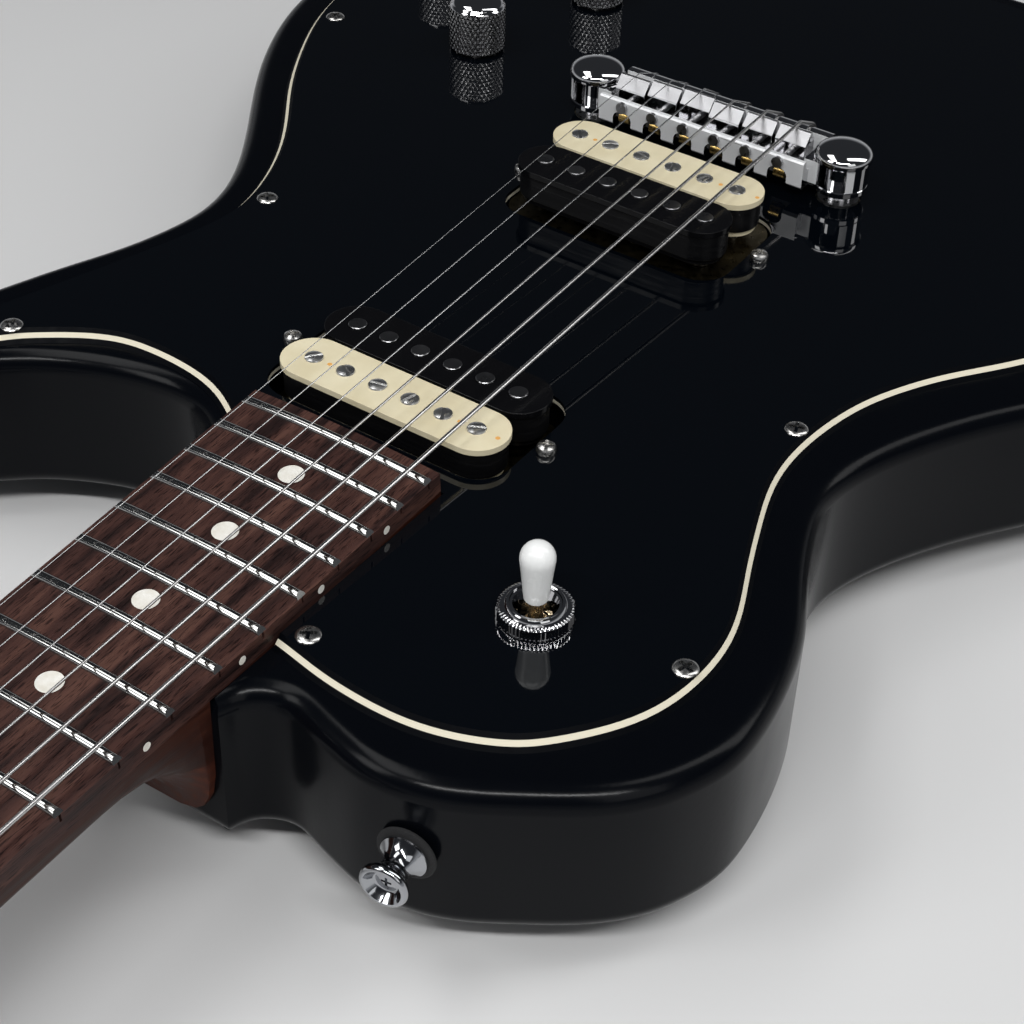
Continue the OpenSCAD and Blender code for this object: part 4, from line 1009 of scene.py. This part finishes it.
# The knurled barrel takes a chrome darker than the dome's: painted shade for the dark reflections in the
# knurl.
knurl_painted_shade_chrome = new_finish("knurl_painted_shade_chrome", (0.3, 0.3, 0.305), 0.14, 1.0)
vary_rough(knurl_painted_shade_chrome, cloudy(knurl_painted_shade_chrome, 6), 0.1, 0.18)
for node, (x, y) in knob_spots.items():
    knob = lofted(node + "_knurled", knob_rings)
    settle(knob, 45)
    knob = placed_copies(knob, node + "_knurled", [spot_matrix(x, y, guard_top)])
    dress(knob, knurl_painted_shade_chrome)
    two_tone(knob, chrome, lambda face: face.center.z > (guard_top + knurl_top + 0.1) * mm)
    stand_for(knob, node, "hardware_chrome", node)
finish_node("control_nuts", nickel)

# Strap buttons: turned steel spools, chrome plated, each screwed to the body's edge through a black felt
# washer, one on the bass shoulder and one at the tail. The screw's crossed head sits in the hollow end.
black_felt = new_finish("black_felt", (0.012, 0.012, 0.013), 0.9)
felt_fibre = cloudy(black_felt, 0.35, detail=4.0)
vary_rough(black_felt, felt_fibre, 0.8, 1.0)
relief(black_felt, felt_fibre, 0.2)
strap_spots = [((-74.8, 248.4, 23.5), 8), ((0, -164.1, 21.5), 180)]
laid_over = Matrix.Rotation(math.radians(-90), 4, "X")
strap_places = [spot_matrix(*spot, turn) @ laid_over for spot, turn in strap_spots]
spool = turned("strap_spool", [
    (0, 1.2), (5.2, 1.2), (5.55, 1.5), (5.5, 2.1), (4.6, 2.9), (3.7, 4.0), (3.3, 5.2), (3.25, 6.4),
    (3.5, 7.4), (4.2, 8.4), (5.1, 9.1), (5.6, 9.7), (5.65, 10.5), (5.4, 11.1), (4.9, 11.4), (4.5, 11.35),
    (3.8, 10.4), (3.2, 9.5), (2.9, 9.2), (2.6, 9.15), (2.0, 9.3), (1.0, 9.4), (0, 9.42)], 64)
cut_cross(spool, 2.4, 0.6, 1.0, 9.42)
settle(spool, 40)
# The spools' chrome is darkened below bright chrome: painted shade for the dark reflections in the plating.
spool_painted_shade_chrome = new_finish("spool_painted_shade_chrome", (0.4, 0.41, 0.43), 0.1, 1.0)
vary_rough(spool_painted_shade_chrome, cloudy(spool_painted_shade_chrome, 4), 0.07, 0.13)
spools = placed_copies(spool, "strap_spools", strap_places)
dress(spools, spool_painted_shade_chrome)
stand_for(spools, "guitar", "hardware_chrome", "strap_buttons")
washer = turned("felt_washer", [
    (2.0, 0.0), (6.6, 0.0), (7.0, 0.35), (7.0, 0.85), (6.6, 1.18), (2.0, 1.18)], 48, ring=True)
settle(washer, 40)
washers = placed_copies(washer, "felt_washers", strap_places)
dress(washers, black_felt)
stand_for(washers, "guitar", "washer_felt", "strap_washers")

# Output socket: a chrome barrel socket in a round black-painted plate, held to it by a hex nut.
# The plate is let into a well bored in the treble side of the body.
plate_paint = new_finish("black_plate_paint", (0.015, 0.015, 0.017), 0.4)
vary_rough(plate_paint, cloudy(plate_paint, 2), 0.34, 0.5)
finish_node("jack_plate", plate_paint)
finish_node("output_jack", chrome)

# Tuners: sealed cast housings screwed behind the headstock, with plated posts through bushings in front and
# flat oval buttons on the worm shafts. Each post carries a few turns of its string.
for node, soft in (("tuner_housings", 0.6), ("tuner_bushings", 0.3)):
    piece = worked_copy(node, node + "_plated", soft)
    dress(piece, chrome)
    stand_for(piece, "guitar", "hardware_chrome", node)
for i in range(1, string_count + 1):
    finish_node("tuner_post_%d" % i, chrome)
    node = "tuner_button_%d" % i
    piece = worked_copy(node, node + "_plated", 0.5)
    dress(piece, chrome)
    stand_for(piece, node, "hardware_chrome", node)

# Floor, light and camera: the guitar lies on a pale floor under large soft lamps. The air above is dim, so
# the glossy guard stays dark, and the camera looks down past the neck as in the photograph.
floor_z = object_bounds()[0][2]
clear_selection()
bpy.ops.mesh.primitive_plane_add(size=8, location=(0, 0, floor_z))
floor = name_piece(bpy.context.object, "floor")
pale_floor = new_finish("pale_floor", (0.66, 0.66, 0.66), 0.6)
vary_rough(pale_floor, cloudy(pale_floor, 300), 0.55, 0.65)
dress(floor, pale_floor)

world = bpy.data.worlds.new("studio_air")
bpy.context.scene.world = world
world.use_nodes = True
air = world.node_tree
sky_ramp = air.nodes.new("ShaderNodeValToRGB")
air.links.new(place_split(air, "Generated").outputs["Z"], sky_ramp.inputs["Fac"])
sky_marks = sky_ramp.color_ramp.elements
sky_marks[0].position = 0.0
sky_marks[0].color = (0.55, 0.56, 0.58, 1)
sky_marks[1].position = 0.3
sky_marks[1].color = (0.03, 0.032, 0.036, 1)
air.links.new(sky_ramp.outputs["Color"], air.nodes["Background"].inputs["Color"])

for name, spot, aim, size, power in (
        ("lamp_over", (0.55, 0.42, 1.45), (0, 0.15, 0), (1.1, 0.45), 5.8),
        ("lamp_neck_side", (0.62, 1.12, 0.95), (0, 0.02, 0.05), (0.5, 0.5), 3.8),
        ("lamp_bass_side", (-1.3, 0.7, 0.9), (-0.05, 0.1, 0.04), (0.8, 0.8), 2.2),
        ("lamp_tail", (-0.7, -0.45, 1.15), (0, 0.25, 0.06), (0.4, 1.5), 6),
        ("lamp_rim", (-0.42, 0.82, 1.15), (-0.09, 0.23, 0.04), (1.1, 0.08), 12)):
    clear_selection()
    bpy.ops.object.light_add(type="AREA", location=spot)
    lamp = bpy.context.object
    lamp.name = name
    lamp.data.shape = "RECTANGLE"
    lamp.data.size = size[0]
    lamp.data.size_y = size[1]
    lamp.data.energy = power
    lamp.rotation_euler = (Vector(aim) - Vector(spot)).to_track_quat("-Z", "Y").to_euler()

clear_selection()
camera_spot = (-0.244287, 0.473043, 0.350496)
camera_turn = (0.874817, -0.024941, -2.543072)
bpy.ops.object.camera_add(location=camera_spot, rotation=camera_turn)
camera = bpy.context.object
camera.data.sensor_width = 36
camera.data.lens = 71.924
camera.data.clip_start = 0.01
bpy.context.scene.camera = camera
bpy.context.scene.view_settings.view_transform = "Standard"
